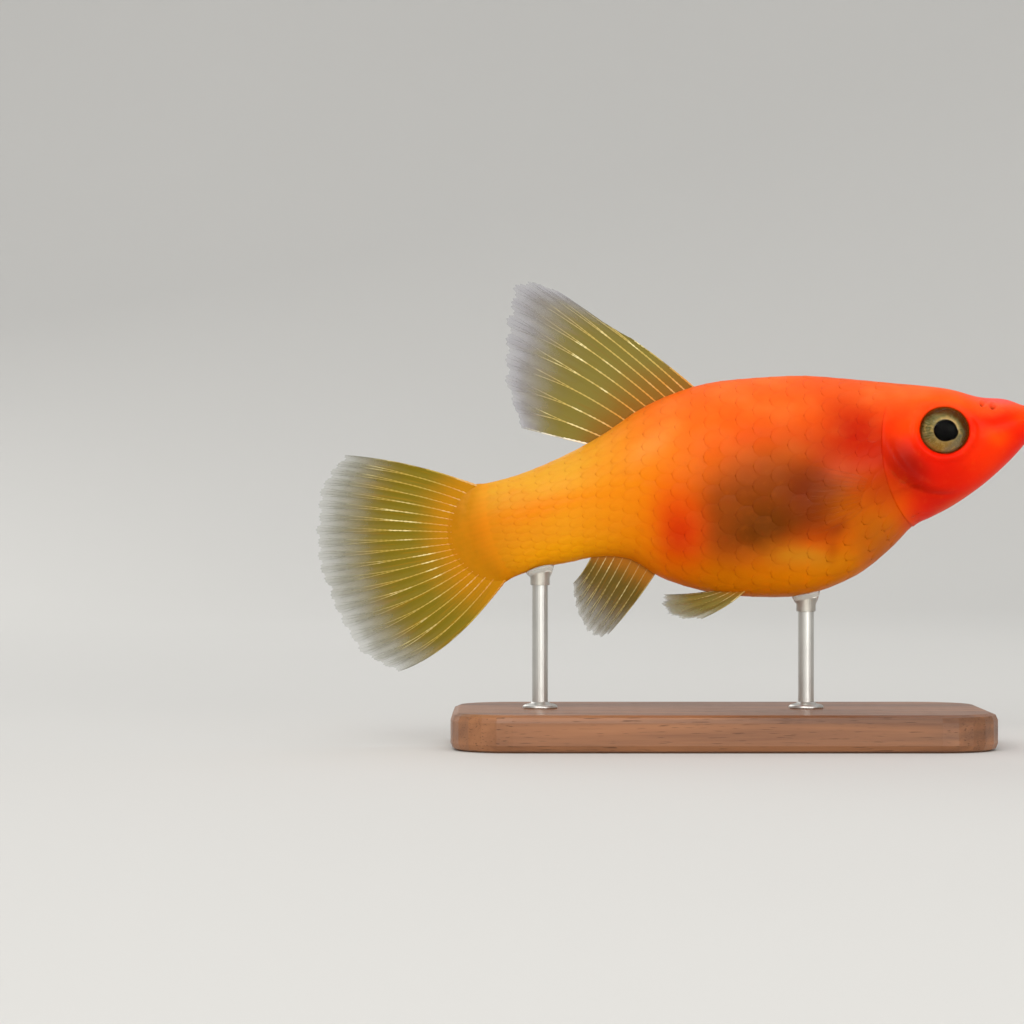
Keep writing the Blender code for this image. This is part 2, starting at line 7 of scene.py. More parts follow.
import bpy
import numpy as np
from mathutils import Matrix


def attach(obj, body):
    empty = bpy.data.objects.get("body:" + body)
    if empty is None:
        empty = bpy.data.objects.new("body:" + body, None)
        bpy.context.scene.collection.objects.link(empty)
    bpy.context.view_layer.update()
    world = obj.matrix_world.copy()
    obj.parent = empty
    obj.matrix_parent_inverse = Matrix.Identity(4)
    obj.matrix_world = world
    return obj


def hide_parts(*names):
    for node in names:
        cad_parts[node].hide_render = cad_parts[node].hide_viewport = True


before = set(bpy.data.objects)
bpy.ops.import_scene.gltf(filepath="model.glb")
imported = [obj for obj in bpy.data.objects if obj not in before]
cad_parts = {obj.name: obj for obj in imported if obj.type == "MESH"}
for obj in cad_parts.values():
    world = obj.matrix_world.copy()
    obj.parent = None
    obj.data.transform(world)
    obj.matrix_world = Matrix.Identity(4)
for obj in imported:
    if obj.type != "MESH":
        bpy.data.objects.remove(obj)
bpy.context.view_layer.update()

# The base is a plate of oiled walnut with softened edges, drilled for the two pins.
# Its grain runs the long way, with darker growth bands, open pores and a satin oil finish.
MM = 0.001


class Shade:
    """One socket in a shader expression. Arithmetic on it adds Math nodes."""

    def __init__(self, socket):
        self.socket = socket
        self.tree = socket.id_data

    def node(self, kind, settings, sockets, out=0):
        """Adds a node of a kind: first its settings, then the values or links of its sockets."""
        made = self.tree.nodes.new(kind)
        for name, value in settings.items():
            if name == "stops":
                for number, (place, colour) in enumerate(value):
                    stops = made.color_ramp.elements
                    stop = stops[number] if number < 2 else stops.new(place)
                    stop.position, stop.color = place, (*colour, 1.0)
            else:
                setattr(made, name, value)
        for key, value in sockets.items():
            if isinstance(value, Shade):
                self.tree.links.new(value.socket, made.inputs[key])
            else:
                made.inputs[key].default_value = value
        return Shade(made.outputs[out])

    def math(self, operation, first, second=0.0):
        return self.node("ShaderNodeMath", {"operation": operation}, {0: first, 1: second})

    def __add__(self, other):
        return self.math("ADD", self, other)

    def __sub__(self, other):
        return self.math("SUBTRACT", self, other)

    def __rsub__(self, other):
        return self.math("SUBTRACT", other, self)

    def __mul__(self, other):
        return self.math("MULTIPLY", self, other)

    def __truediv__(self, other):
        return self.math("DIVIDE", self, other)

    def __pow__(self, other):
        return self.math("POWER", self, other)

    __radd__, __rmul__ = __add__, __mul__


def hue(red, green, blue):
    """A linear colour from the 0 to 255 numbers of a screen colour."""
    return tuple((level / 255) ** 2.2 for level in (red, green, blue))


def new_material(name, constants):
    """A material whose shader has constant sockets, and the object coordinates to build on."""
    made = bpy.data.materials.new(name)
    made.use_nodes = True
    for socket, value in constants.items():
        made.node_tree.nodes["Principled BSDF"].inputs[socket].default_value = value
    return made, Shade(made.node_tree.nodes.new("ShaderNodeTexCoord").outputs["Object"])


def feed(made, links):
    """Links what varies over the surface to the material's shader."""
    for socket, shade in links.items():
        made.node_tree.links.new(shade.socket, made.node_tree.nodes["Principled BSDF"].inputs[socket])


def blend(amount, under, over):
    """The colour under, covered by the colour over as far as amount says. Both may be screen colours."""
    under, over = ((*hue(*c), 1.0) if isinstance(c, tuple) else c for c in (under, over))
    return amount.node("ShaderNodeMix", {"data_type": "RGBA"}, {0: amount, 6: under, 7: over}, out=2)


def layered(colour, *layers):
    """A colour covered by layers one after another, each an amount and a colour."""
    for amount, over in layers:
        colour = blend(amount, colour, over)
    return colour


def fit(value, low, high):
    """Rises smoothly from 0 to 1 as the value goes from low to high."""
    return value.node("ShaderNodeMapRange", {"interpolation_type": "SMOOTHSTEP"},
                      {"Value": value, "From Min": low, "From Max": high})


def noise(place, scale, detail=3.0, distortion=0.0):
    """Noise at one scale, or at a scale for each axis."""
    if isinstance(scale, tuple):
        place, scale = place.node("ShaderNodeMapping", {}, {"Vector": place, "Scale": scale}), 1.0
    return place.node("ShaderNodeTexNoise", {}, {"Vector": place, "Scale": scale, "Detail": detail,
                                                 "Distortion": distortion})


def bump(height, strength, distance):
    return height.node("ShaderNodeBump", {}, {"Height": height, "Strength": strength,
                                              "Distance": distance * MM})


def dress(node, made):
    """Gives a solid that stays in view its finish."""
    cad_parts[node].material_slots[0].material = made


walnut, place = new_material("oiled_walnut", {"Coat Roughness": 0.25, "IOR": 1.48})
figure = noise(place, (28.0, 260.0, 260.0), 4.0, 1.4)
bands = noise(place, (16.0, 150.0, 620.0), 2.0, 0.6)
fibre = noise(place, (160.0, 5200.0, 5200.0), 3.0)
pores = fit(noise(place, (520.0, 9000.0, 9000.0), 1.0), 0.62, 0.72)
wood = layered((150, 98, 62), (fit(figure, 0.3, 0.72), (92, 54, 32)),
               (fit(bands, 0.55, 0.75) * 0.55, (62, 36, 24)), (fibre * 0.35, (176, 122, 80)),
               (pores * 0.55, (46, 27, 17)))
feed(walnut, {"Base Color": wood, "Roughness": 0.36 + 0.18 * fibre + 0.2 * pores,
              "Coat Weight": 0.25 - 0.2 * pores,
              "Normal": bump(fibre * 0.4 - pores, 0.3, 0.02)})
dress("stand_base", walnut)

# Two pins of brushed stainless steel stand in the base and carry the fish under its belly and its tail.
# Each has a turned collar that closes its hole and a soft clear cup on top, shaped to the fish's skin.
PIN_PLACES = {"front": 7.05, "rear": -14.76}
COLLAR = ((0.0, 3.55), (0.68, 3.55), (0.72, 3.52), (0.86, 3.42), (1.2, 3.34), (1.34, 3.28), (1.42, 3.18),
          (1.42, 3.02), (1.38, 2.995), (0.0, 2.995))
CUP = ((0.0, -1.35), (0.76, -1.35), (0.8, -1.3), (0.8, -0.75), (0.98, -0.45), (1.12, -0.15), (1.16, 0.05),
       (1.05, 0.1), (0.8, 0.03), (0.5, 0.0), (0.0, 0.0))  # from the fish's underside
CUP_NECK = 0.75  # below this depth the cup is round, and above it follows the skin
steel, place = new_material("brushed_steel", {"Metallic": 1.0})
brushing = noise(place, (900.0, 900.0, 26000.0), 2.0)
smudge = noise(place, 700.0, 2.0)
feed(steel, {"Base Color": blend(smudge * 0.5, (206, 205, 200), (176, 175, 172)),
             "Roughness": 0.24 + 0.16 * brushing + 0.08 * smudge,
             "Normal": bump(brushing, 0.25, 0.01)})
cup_clear, place = new_material("clear_silicone", {"Roughness": 0.22, "Transmission Weight": 0.75, "IOR": 1.41})
feed(cup_clear, {"Base Color": blend(noise(place, 900.0), (240, 238, 230), (222, 218, 208))})


def add_object(name, data):
    """An object in the scene from a mesh, a lamp or a lens."""
    made = bpy.data.objects.new(name, data)
    bpy.context.scene.collection.objects.link(made)
    return made


def make_mesh(name, points, faces, made):
    """A smooth object in one material from points in millimetres and arrays of faces."""
    mesh = bpy.data.meshes.new(name)
    mesh.from_pydata((points * MM).tolist(), [], [face for group in faces for face in group.tolist()])
    mesh.validate()
    mesh.shade_smooth()
    mesh.materials.append(made)
    return add_object(name, mesh)


def make_piece(name, points, faces, made, replaced=()):
    """A piece that rides on the fish's body. It may replace solids, which it hides."""
    piece = make_mesh(name, points, faces, made)
    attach(piece, "root")
    if replaced:
        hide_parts(*replaced)
    return piece


def wrapped_faces(rows, columns, closed=True):
    """Quads of a grid whose rows are rings, or open lines where closed is false."""
    index = np.arange(rows * columns).reshape(rows, columns)
    if closed:
        index = np.concatenate([index, index[:, :1]], axis=1)
    quads = [index[:-1, :-1], index[:-1, 1:], index[1:, 1:], index[1:, :-1]]
    return np.stack([corner.ravel() for corner in quads], 1)


def cap(hub, ring):
    """Triangles from one point to the edges of a ring of points, all given by their numbers."""
    return np.stack([np.full(len(ring), hub), ring, np.roll(ring, -1)], 1)


def turned(profile, sides):
    """Points and faces of a profile (radius, height) turned round the Z axis. A radius of 0 is one point."""
    angle = math.tau * np.arange(sides) / sides
    profile = np.asarray(profile, float)
    radius, height = profile[profile[:, 0] > 1e-6].T
    rings = np.stack([radius[:, None] * np.cos(angle), radius[:, None] * np.sin(angle),
                      height[:, None] + 0 * angle], -1).reshape(-1, 3)
    points, faces, ring = list(rings), [wrapped_faces(len(radius), sides)], np.arange(sides)
    for pole, edge in ((profile[0], ring[::-1]), (profile[-1], len(rings) - sides + ring)):
        if pole[0] <= 1e-6:
            faces.append(cap(len(points), edge))
            points.append((0.0, 0.0, pole[1]))
    return np.array(points), faces


# name: (back x, back z, belly x, belly z, half width) where a cross-section meets the back and the belly
STATIONS = {
    "snout tip": (26.73, 27.31, 26.73, 27.14, 0.0),
    "lips": (25.99, 27.68, 26.36, 26.49, 1.25),
    "chin": (24.76, 27.92, 25.42, 25.17, 1.95),
    "nostrils": (23.29, 28.4, 23.86, 23.37, 2.5),
    "fore eye": (21.16, 28.58, 21.65, 21.36, 2.95),
    "eye": (18.7, 29.19, 19.27, 19.68, 3.3),
    "cheek": (16.4, 29.52, 17.38, 18.66, 3.75),
    "gill cover": (14.51, 29.68, 15.83, 17.92, 4.15),
    "shoulder": (12.63, 29.86, 13.78, 15.87, 4.5),
    "breast": (10.25, 30.08, 10.99, 13.78, 4.85),
    "belly": (6.81, 30.32, 7.05, 12.3, 5.15),
    "abdomen": (3.03, 30.16, 2.95, 12.1, 5.1),
    "vent": (-0.66, 29.77, -0.98, 12.51, 4.7),
    "dorsal fin": (-3.61, 28.95, -4.67, 13.61, 4.05),
    "anal fin": (-6.56, 27.59, -7.38, 15.17, 3.45),
    "hind back": (-9.84, 25.38, -10.0, 15.38, 2.85),
    "tail": (-13.12, 23.62, -12.3, 14.94, 2.4),
    "tail stalk": (-16.4, 22.26, -14.76, 14.46, 2.0),
    "stalk end": (-18.86, 21.58, -16.73, 13.78, 1.25),
    "tail plate": (-19.87, 21.46, -17.53, 13.33, 0.44),
    "tail root": (-20.83, 21.4, -18.29, 12.87, 0.12),
}
STATION = {name: number for number, name in enumerate(STATIONS)}
GILLS, LAST = STATION["gill cover"], STATION["tail root"]
BOW = {"fore eye": 0.0, "eye": 0.2, "cheek": 1.3, "gill cover": 2.3, "shoulder": 1.7, "breast": 0.8,
       "belly": 0.1, "tail": 0.0, "tail stalk": 0.15, "stalk end": 1.0, "tail plate": 1.95, "tail root": 2.9}
WIDEST = {"snout tip": 0.5, "nostrils": 0.45, "eye": 0.45, "gill cover": 0.52, "breast": 0.58,
          "abdomen": 0.62, "dorsal fin": 0.54, "anal fin": 0.5}
CROWN = {"snout tip": 0.9, "nostrils": 0.8, "eye": 0.66, "gill cover": 0.95, "abdomen": 1.05,
         "dorsal fin": 1.15, "tail stalk": 1.1, "tail root": 0.7}
KEEL = {"snout tip": 0.85, "eye": 0.95, "gill cover": 1.05, "belly": 0.85, "vent": 0.95,
        "anal fin": 1.1, "tail stalk": 1.1, "tail root": 0.7}
BOW_POWER = 0.75


def smooth_through(rows, at):
    """A Catmull-Rom curve through evenly numbered rows, read at the numbers in at."""
    rows = np.asarray(rows, float)
    at = np.clip(np.asarray(at, float), 0, len(rows) - 1)
    first = np.minimum(at.astype(int), len(rows) - 2)
    t = (at - first)[..., None]
    padded = np.concatenate([2 * rows[:1] - rows[1:2], rows, 2 * rows[-1:] - rows[-2:-1]])
    a, b, c, d = (padded[first + k] for k in range(4))
    return b + 0.5 * t * (c - a + t * (2 * a - 5 * b + 4 * c - d + t * (3 * (b - c) + d - a)))


def knots(values, at):
    """Values given at some stations, joined by straight runs, read at the station numbers in at."""
    return np.interp(at, [STATION[name] for name in values], list(values.values()))


def station_rows(at):
    """The station table's smooth curve. Before the snout tip it is mirrored, which rounds the snout."""
    rows = np.array(list(STATIONS.values()))
    back_x, back_z, belly_x, belly_z, half_width = rows[1]
    mirrored = (belly_x, belly_z, back_x, back_z, -half_width)
    return smooth_through(np.vstack([mirrored, rows]), np.asarray(at, float) + 1)


def body(at, turn):
    """The body's plain form at station numbers, and turn round it: 0 back, 0.25 left, 0.5 belly, 0.75 right.

    Along a section's chord, from back to belly, a point lies at a share that follows the cosine of its
    angle, and out to the side by the half width times the sine raised to the crown or the keel."""
    row = station_rows(at)
    back, belly = row[..., 0:2], row[..., 2:4]
    rise, side = np.cos(math.tau * turn), np.sin(math.tau * turn)
    widest = knots(WIDEST, at)
    share = np.where(rise > 0, widest * (1 - rise), widest - (1 - widest) * rise)
    pinch = np.where(rise > 0, knots(CROWN, at), knots(KEEL, at))
    chord = belly - back
    length = np.maximum(np.linalg.norm(chord, axis=-1, keepdims=True), 1e-6)
    tailward = np.stack([chord[..., 1], -chord[..., 0]], -1) / length
    arc = np.clip(1 - (2 * share - 1) ** 2, 0, 1) ** BOW_POWER
    spot = back + chord * share[..., None] + tailward * (knots(BOW, at) * arc)[..., None]
    out = row[..., 4] * np.sign(side) * np.abs(side) ** pinch
    return np.stack([spot[..., 0], out, spot[..., 1]], -1)


def belly_line(x):
    """Height of the fish's underside in the mid plane at x."""
    line = body(np.linspace(0, LAST, 800), np.full(800, 0.5))
    order = np.argsort(line[:, 0])
    return np.interp(x, line[order, 0], line[order, 2])


for pin, x in PIN_PLACES.items():
    dress(f"stand_pin_{pin}", steel)
    points, faces = turned(COLLAR, 48)
    make_piece(f"collar_{pin}", points + (x, 0, 0), [part[:, ::-1] for part in faces], steel)
    rim = belly_line(x)
    points, faces = turned(CUP, 36)
    lift = np.clip((points[:, 2] + CUP_NECK) / CUP_NECK, 0, 1)
    ground = belly_line(x + points[:, 0]) + 0.1 * points[:, 1] ** 2
    points = points + (x, 0, 0)
    points[:, 2] += rim + lift * (ground - rim)
    make_piece(f"cup_{pin}", points, faces, cup_clear)

# The skin is one soft wet surface from the lips to the tail's root, over the bones of the head.
# It holds the sockets, nostrils, mouth and gill covers, and carries the orange, red and amber colours.
COAT = 0.05  # depth that the scales take over the skin
HEAD_ROWS, BODY_ROWS, ROUND = 200, 170, 240
SNOUT_CROWDING = 1.3  # rows stand closer together towards the snout's tip
EYE = (18.05, 2.72, 25.72)
EYE_RADIUS, EYE_DEPTH, EYE_SQUASH = 2.05, 1.25, 0.94
ORBIT, ORBIT_RUN = 0.2, 2.4  # the skin's rim stands out past the eye's middle, and falls away over the run
MOUTH_CORNER, MOUTH_SLOPE = (24.95, 26.2), math.radians(31.0)
GILL_STEP, GILL_RUN = 0.085, 1.1
NOSTRILS = ((22.1, 27.7, 0.2), (21.2, 27.9, 0.16))
PORE_ARCS = ((7, 2.95, 150, 330), (6, 5.25, 175, 285))  # round the eye: count, radius, first and last angle
THROAT, BONE_LINE = (16.8, 21.5), (14.0, 20.9)  # where gill rays spread from, and where a low bone starts


def run_along(lines):
    """Length run along lines of points, from 0 at each line's first point."""
    steps = np.diff(lines, axis=-2, prepend=lines[..., :1, :])
    return np.cumsum(np.linalg.norm(steps, axis=-1), axis=-1)


def unit(vectors, least=1e-12):
    """Vectors scaled to length 1."""
    return vectors / np.maximum(np.linalg.norm(vectors, axis=-1, keepdims=True), least)


def even_turn(at, share):
    """The turn round the body at a share of the way round it, measured along the skin."""
    stations, turns = np.linspace(0.05, LAST, 96), np.linspace(0, 1, 241)
    ring = body(*np.meshgrid(stations, turns, indexing="ij"))
    way = run_along(ring)
    way /= way[:, -1:]
    shares = np.linspace(0, 1, 241)
    table = np.array([np.interp(shares, row, turns) for row in way])
    row = np.clip((at - stations[0]) / (stations[-1] - stations[0]), 0, 1) * (len(stations) - 1)
    column = np.mod(share, 1) * 240
    i, j = np.minimum(row.astype(int), len(stations) - 2), np.minimum(column.astype(int), 239)
    a, b = row - i, column - j
    return ((1 - a) * ((1 - b) * table[i, j] + b * table[i, j + 1])
            + a * ((1 - b) * table[i + 1, j] + b * table[i + 1, j + 1]))


def outward(at, turn, step=2e-3):
    """The body's unit normal: its slope round the fish crossed with its slope along the fish."""
    across = body(at, turn + step) - body(at, turn - step)
    along = body(at + step, turn) - body(at - step, turn)
    return unit(np.cross(across, along), 1e-9)


def swing(turns):
    """0 at whole turns and 1 at half turns. Round the fish it is 0 at the back and 1 at the belly."""
    return 0.5 - 0.5 * np.cos(math.tau * turns)


def hump(distance, width):
    """1 where the distance is 0, falling away over the width."""
    return np.exp(-(distance / width) ** 2)


def ease(value, low, high):
    """Rises smoothly from 0 at low to 1 at high."""
    t = np.clip((value - low) / (high - low), 0, 1)
    return t * t * (3 - 2 * t)


def eye_distance(points):
    """Distance from the eye's middle in the side view, stretched upwards because the eye is wider than high."""
    return np.hypot(points[..., 0] - EYE[0], (points[..., 2] - EYE[2]) / EYE_SQUASH)


def from_mouth(points):
    """Distances from the mouth's corner in the side view: forward along the mouth, and upwards off it."""
    forward, rise = points[..., 0] - MOUTH_CORNER[0], points[..., 2] - MOUTH_CORNER[1]
    slope_x, slope_z = math.cos(MOUTH_SLOPE), math.sin(MOUTH_SLOPE)
    return forward * slope_x + rise * slope_z, rise * slope_x - forward * slope_z


def head_relief(points, at, turn):
    """Height over the plain form: gill cover, cheek bones, brow, lips, mouth, nostrils and sense pores.

    Each is a hump or a groove on its line or round its middle, eased away at its ends."""
    x, z = points[..., 0], points[..., 2]
    sides = ease(swing(turn), 0.125, 0.5)
    cover = np.where(at <= GILLS, GILL_STEP * np.clip((at - GILLS) / GILL_RUN + 1, 0, 1) ** 2 * sides, 0)
    from_eye = eye_distance(points)
    behind = ease(EYE[0] - x + 0.6 * (EYE[2] - z), 1.0, 3.5)
    low = ease(EYE[2] + 2.5 - z, 0, 2)
    cheek = (0.16 * hump(from_eye - 4.9, 0.5) - 0.07 * hump(from_eye - 5.6, 0.22)) * behind * low
    rim = 0.12 * hump(from_eye - EYE_RADIUS - 0.42, 0.28)
    along, off = from_mouth(points)
    lips = 0.11 * hump(np.abs(off) - 0.36, 0.27) * ease(along, -0.6, 0.4) * (1 - 0.8 * ease(along, 0.8, 1.9))
    fold = -0.07 * hump(np.abs(off) - 0.92, 0.22) * ease(along, -0.2, 0.6) * (1 - ease(along, 0.9, 1.8))
    mouth = -0.42 * hump(off, 0.13) * ease(along, -0.15, 0.25)
    corner = -0.16 * hump(np.hypot(along + 0.15, off), 0.35)
    pits = sum(-0.3 * hump(np.hypot(x - a, z - b), r) + 0.07 * hump(np.hypot(x - a, z - b) - 1.8 * r, 0.6 * r)
               for a, b, r in NOSTRILS)
    pores = 0
    for count, radius, start, end in PORE_ARCS:
        for angle in np.radians(np.linspace(start, end, count)):
            away = np.hypot(x - EYE[0] - radius * math.cos(angle), z - EYE[2] - radius * math.sin(angle))
            pores = pores - 0.03 * hump(away, 0.11)
    throat = np.hypot(x - THROAT[0], z - THROAT[1])
    rays = -0.05 * hump(np.abs(np.sin(2.6 * (throat - 1.4))), 0.22)
    rays = rays * ease(19.4 - z, 0, 0.8) * ease(17.6 - x, 0, 2)
    bones = 0.06 * hump(z - BONE_LINE[1] - 0.28 * (x - BONE_LINE[0]), 0.22)
    bones = bones * ease(16.6 - x, 0, 1.0) * ease(x, 11.8, 12.6)
    face = cheek + rim + lips + fold + mouth + corner + pits + pores + rays + bones
    return cover + np.where(at <= GILLS, face, 0)


def skin_point(at, turn):
    """A point of the skin: the plain form with its relief, sunk by the coat's depth and hollowed at the eyes.

    Round an eye the skin swells out to the eye's rim where the head is narrower than that."""
    plain = body(at, turn)
    points = plain + outward(at, turn) * (head_relief(plain, at, turn) - COAT)[..., None]
    from_eye = eye_distance(points)
    socket = ease(EYE_RADIUS + 0.02 - from_eye, 0, 0.22) * (at < GILLS)
    floor = np.sign(points[..., 1]) * np.minimum(np.abs(points[..., 1]), EYE[1] - 0.5)
    points[..., 1] += socket * (floor - points[..., 1])
    rim = np.sign(points[..., 1]) * np.maximum(EYE[1] + ORBIT - np.abs(points[..., 1]), 0)
    points[..., 1] += (1 - socket) * (1 - ease(from_eye - EYE_RADIUS, 0, ORBIT_RUN)) * (at < GILLS) * rim
    return points


head_at = np.linspace(0, 1, HEAD_ROWS)[1:] ** SNOUT_CROWDING * GILLS
body_at = np.linspace(GILLS + 0.004, LAST, BODY_ROWS)
at, share = np.meshgrid(np.concatenate([head_at, body_at]), np.arange(ROUND) / ROUND, indexing="ij")
turn = even_turn(at, share)
grid = skin_point(at, turn)
tip = grid[0].mean(axis=0)
end = body(np.full(ROUND, LAST), turn[-1]) * (1, 0, 1)
points = np.concatenate([grid.reshape(-1, 3), [tip], [end.mean(axis=0)]])
sides = wrapped_faces(len(at), ROUND)
ring = np.arange(ROUND)
snout = cap(at.size, ring[::-1])
last = at.size - ROUND
half = ROUND // 2
left, right = ring[1:half - 1], (-ring[1:half - 1]) % ROUND
hind = last + np.stack([left, left + 1, right - 1, right], 1)
hind_ends = last + np.array([[0, 1, ROUND - 1], [half - 1, half, half + 1]])

# mark: (x, z, half length, half height, tilt, fullness, strength, screen colour)
MARKS = {
    "tail's stripe": (-14.5, 19.4, 5.5, 0.8, 12, 1, 0.55, (250, 122, 10)),
    "under the dorsal fin": (-5.6, 24.9, 2.4, 1.1, 35, 1, 0.6, (254, 148, 66)),
    # Painted light: a paler orange along the underside of the tail, brightening it where the lamps leave it
    # dim.
    "painted light under the tail": (-13.2, 15.7, 4.6, 1.3, 8, 1, 0.85, (255, 160, 14)),
    "tail's low corner": (-19, 13.2, 2.6, 2.4, 0, 1, 0.75, (186, 120, 8)),
    "flank": (3.4, 25.4, 5.2, 1.5, 12, 1, 0.6, (246, 78, 14)),
    "abdomen's edge": (3.9, 20.2, 7.2, 4.7, 22, 1.5, 0.85, (172, 70, 16)),
    "abdomen": (3.2, 19.5, 5.6, 3.6, 18, 1.4, 0.92, (122, 54, 4)),
    "fore abdomen": (7.8, 20.4, 2.7, 2.9, 10, 1.5, 0.95, (98, 18, 0)),
    "womb": (2.9, 17.8, 3.4, 1.6, 6, 1.3, 0.9, (96, 48, 0)),
    "hind abdomen": (-0.2, 18.1, 2.1, 3, 0, 1, 0.8, (140, 62, 14)),
    # The next two marks paint a reflection: a greyish pink gleam on the flank behind the gill cover.
    "painted reflection": (8.5, 24, 2.4, 1.3, -30, 1, 0.75, (190, 60, 28)),
    "painted pink reflection": (9.4, 22.5, 1, 1.3, -60, 1, 0.5, (220, 80, 50)),
    "shoulder": (10.9, 25.3, 3.3, 2.2, -50, 1.2, 0.9, (186, 14, 0)),
    "behind the gills": (12.4, 21, 2.8, 1.9, 10, 1.3, 0.85, (180, 56, 0)),
    "upper gills": (14.2, 23.8, 1.8, 1.4, -40, 1.2, 0.7, (180, 30, 0)),
    "gills": (15.6, 22.2, 2.3, 1.4, -38, 1.3, 0.92, (130, 2, 0)),
    "low cheek": (17.6, 20.8, 2.6, 1.8, 30, 1.2, 0.7, (196, 30, 0)),
    "under the eye": (18.4, 22.7, 2.6, 1, 8, 1, 0.7, (208, 22, 0)),
    "side of the jaw": (21.8, 23.6, 2.2, 2.4, 30, 1, 0.6, (246, 60, 0)),
    "before the eye": (22.2, 25.3, 1.2, 0.7, -10, 1, 0.6, (255, 84, 0)),
    "breast": (12.2, 17.2, 4.9, 2.6, -42, 1.3, 0.92, (194, 94, 0)),
    "pale belly": (6.3, 15.4, 2.8, 1, -4, 1, 0.7, (204, 134, 32)),
    "fleck": (9.1, 17.7, 1.1, 0.6, 30, 1, 0.65, (130, 44, 0)),
    "lower fleck": (8.7, 16.2, 0.5, 0.9, 0, 1, 0.5, (176, 70, 0)),
    "over the vent": (-3.5, 18.3, 2.1, 3.6, 10, 1.2, 0.8, (238, 74, 6)),
    "its core": (-3.4, 17.3, 1.4, 2, 8, 1, 0.85, (210, 46, 0)),
    "nape": (17.2, 29, 5, 1, -5, 1, 0.8, (252, 88, 18)),
    "pink of the snout": (22.8, 28.3, 2.4, 0.5, -8, 1, 0.85, (250, 84, 84)),
    "jaw": (19, 19.6, 2.6, 0.5, 36, 1, 0.6, (230, 88, 36)),
    "over the cheek": (15.3, 26.2, 1.6, 1, 20, 1, 0.5, (255, 82, 0)),
    "tip of the snout": (25, 27, 1.5, 0.9, 20, 1, 0.6, (252, 80, 10)),
}
# The ground colour along the fish: share of the way from the tail's root to the snout, screen colour.
GROUND = ((0.0, (228, 130, 24)), (0.16, (244, 148, 28)), (0.3, (246, 128, 14)), (0.42, (250, 102, 10)),
          (0.55, (250, 90, 10)), (0.68, (246, 62, 0)), (0.8, (240, 30, 0)), (1.0, (236, 22, 0)))
GROUND_START, GROUND_LENGTH = -20.0, 45.0
STREAKS = 19  # streaks on the tail over the roots of the fin's rays


def axis_of(vector, axis):
    """One coordinate of a vector: 0, 1 or 2."""
    return vector.node("ShaderNodeSeparateXYZ", {}, {0: vector}, out=axis)


def attribute(place, name):
    """A number that the mesh carries at each point."""
    return place.node("ShaderNodeAttribute", {"attribute_name": name}, {}, out=2)


def markings(place, depth):
    """The fish's colour with a painted reflection and painted light in it, and its mottle, from object
    coordinates and depth: 0 at the back, 1 at the belly.
    """
    x = axis_of(place, 0) * 1000.0 + 1.5 * (noise(place, 190.0, 3.0) - 0.5)
    z = axis_of(place, 2) * 1000.0 + 1.1 * (noise(place, 260.0, 2.0) - 0.5)
    colour = x.node("ShaderNodeValToRGB", {"stops": [(stop, hue(*paint)) for stop, paint in GROUND]},
                    {0: (x - GROUND_START) / GROUND_LENGTH})
    hind = fit(0.0 - x, 5.0, 13.0)
    back = 1.0 - fit(depth, 0.06, 0.34)
    trunk = fit(x, -8.0, 0.0) * (1.0 - fit(x, 11.0, 17.0))
    colour = layered(colour, (back * 0.7 * (1.0 - hind), (254, 98, 36)),
                     ((1.0 - fit(depth, 0.1, 0.5)) * 0.8 * hind, (238, 166, 52)),
                     (fit(depth, 0.62, 0.9) * trunk, (236, 126, 2)))
    for middle_x, middle_z, length, height, tilt, fullness, strength, paint in MARKS.values():
        turned_x, turned_z = math.cos(math.radians(tilt)), math.sin(math.radians(tilt))
        off_x, off_z = x - middle_x, z - middle_z
        along = (off_x * turned_x + off_z * turned_z) / length
        over = (off_z * turned_x - off_x * turned_z) / height
        spread = x.math("EXPONENT", 0.0 - (along * along + over * over) ** fullness)
        colour = blend(spread * strength, colour, paint)
    mottle, patches = noise(place, 1500.0, 4.0), noise(place, (300.0, 300.0, 420.0), 2.0)
    above = 1.0 - fit(depth, 0.12, 0.42)
    return layered(colour, (fit(patches, 0.45, 0.75) * 0.2 * above, (255, 136, 66)),
                   (fit(1.0 - patches, 0.45, 0.75) * 0.2 * above, (236, 60, 6)),
                   (fit(mottle, 0.52, 0.75) * 0.05, (255, 120, 36)),
                   (fit(1.0 - mottle, 0.56, 0.78) * 0.1, (170, 30, 0)),
                   (attribute(place, "fin_root") * (0.7 + 0.6 * mottle), (178, 116, 14))), mottle


def skin_material(name):
    """A wet, slightly see-through skin. Gives the material, its coordinates and its depth attribute."""
    made, place = new_material(name, {"IOR": 1.22, "Specular Tint": (1.0, 0.5, 0.25, 1.0),
                                      "Coat Roughness": 0.18, "Subsurface Weight": 0.2,
                                      "Subsurface Radius": (1.0, 0.35, 0.15), "Subsurface Scale": 0.0007})
    return made, place, attribute(place, "depth")


def set_attribute(piece, name, values):
    piece.data.attributes.new(name, "FLOAT", "POINT").data.foreach_set("value", np.asarray(values, np.float32))


def fin_root(at, turn):
    """Rises to 1 at the end of the tail, sooner in streaks over the roots of the fin's rays."""
    return ease(at + 0.12 * (1 - swing(STREAKS * swing(turn))), LAST - 2.8, LAST - 0.05)


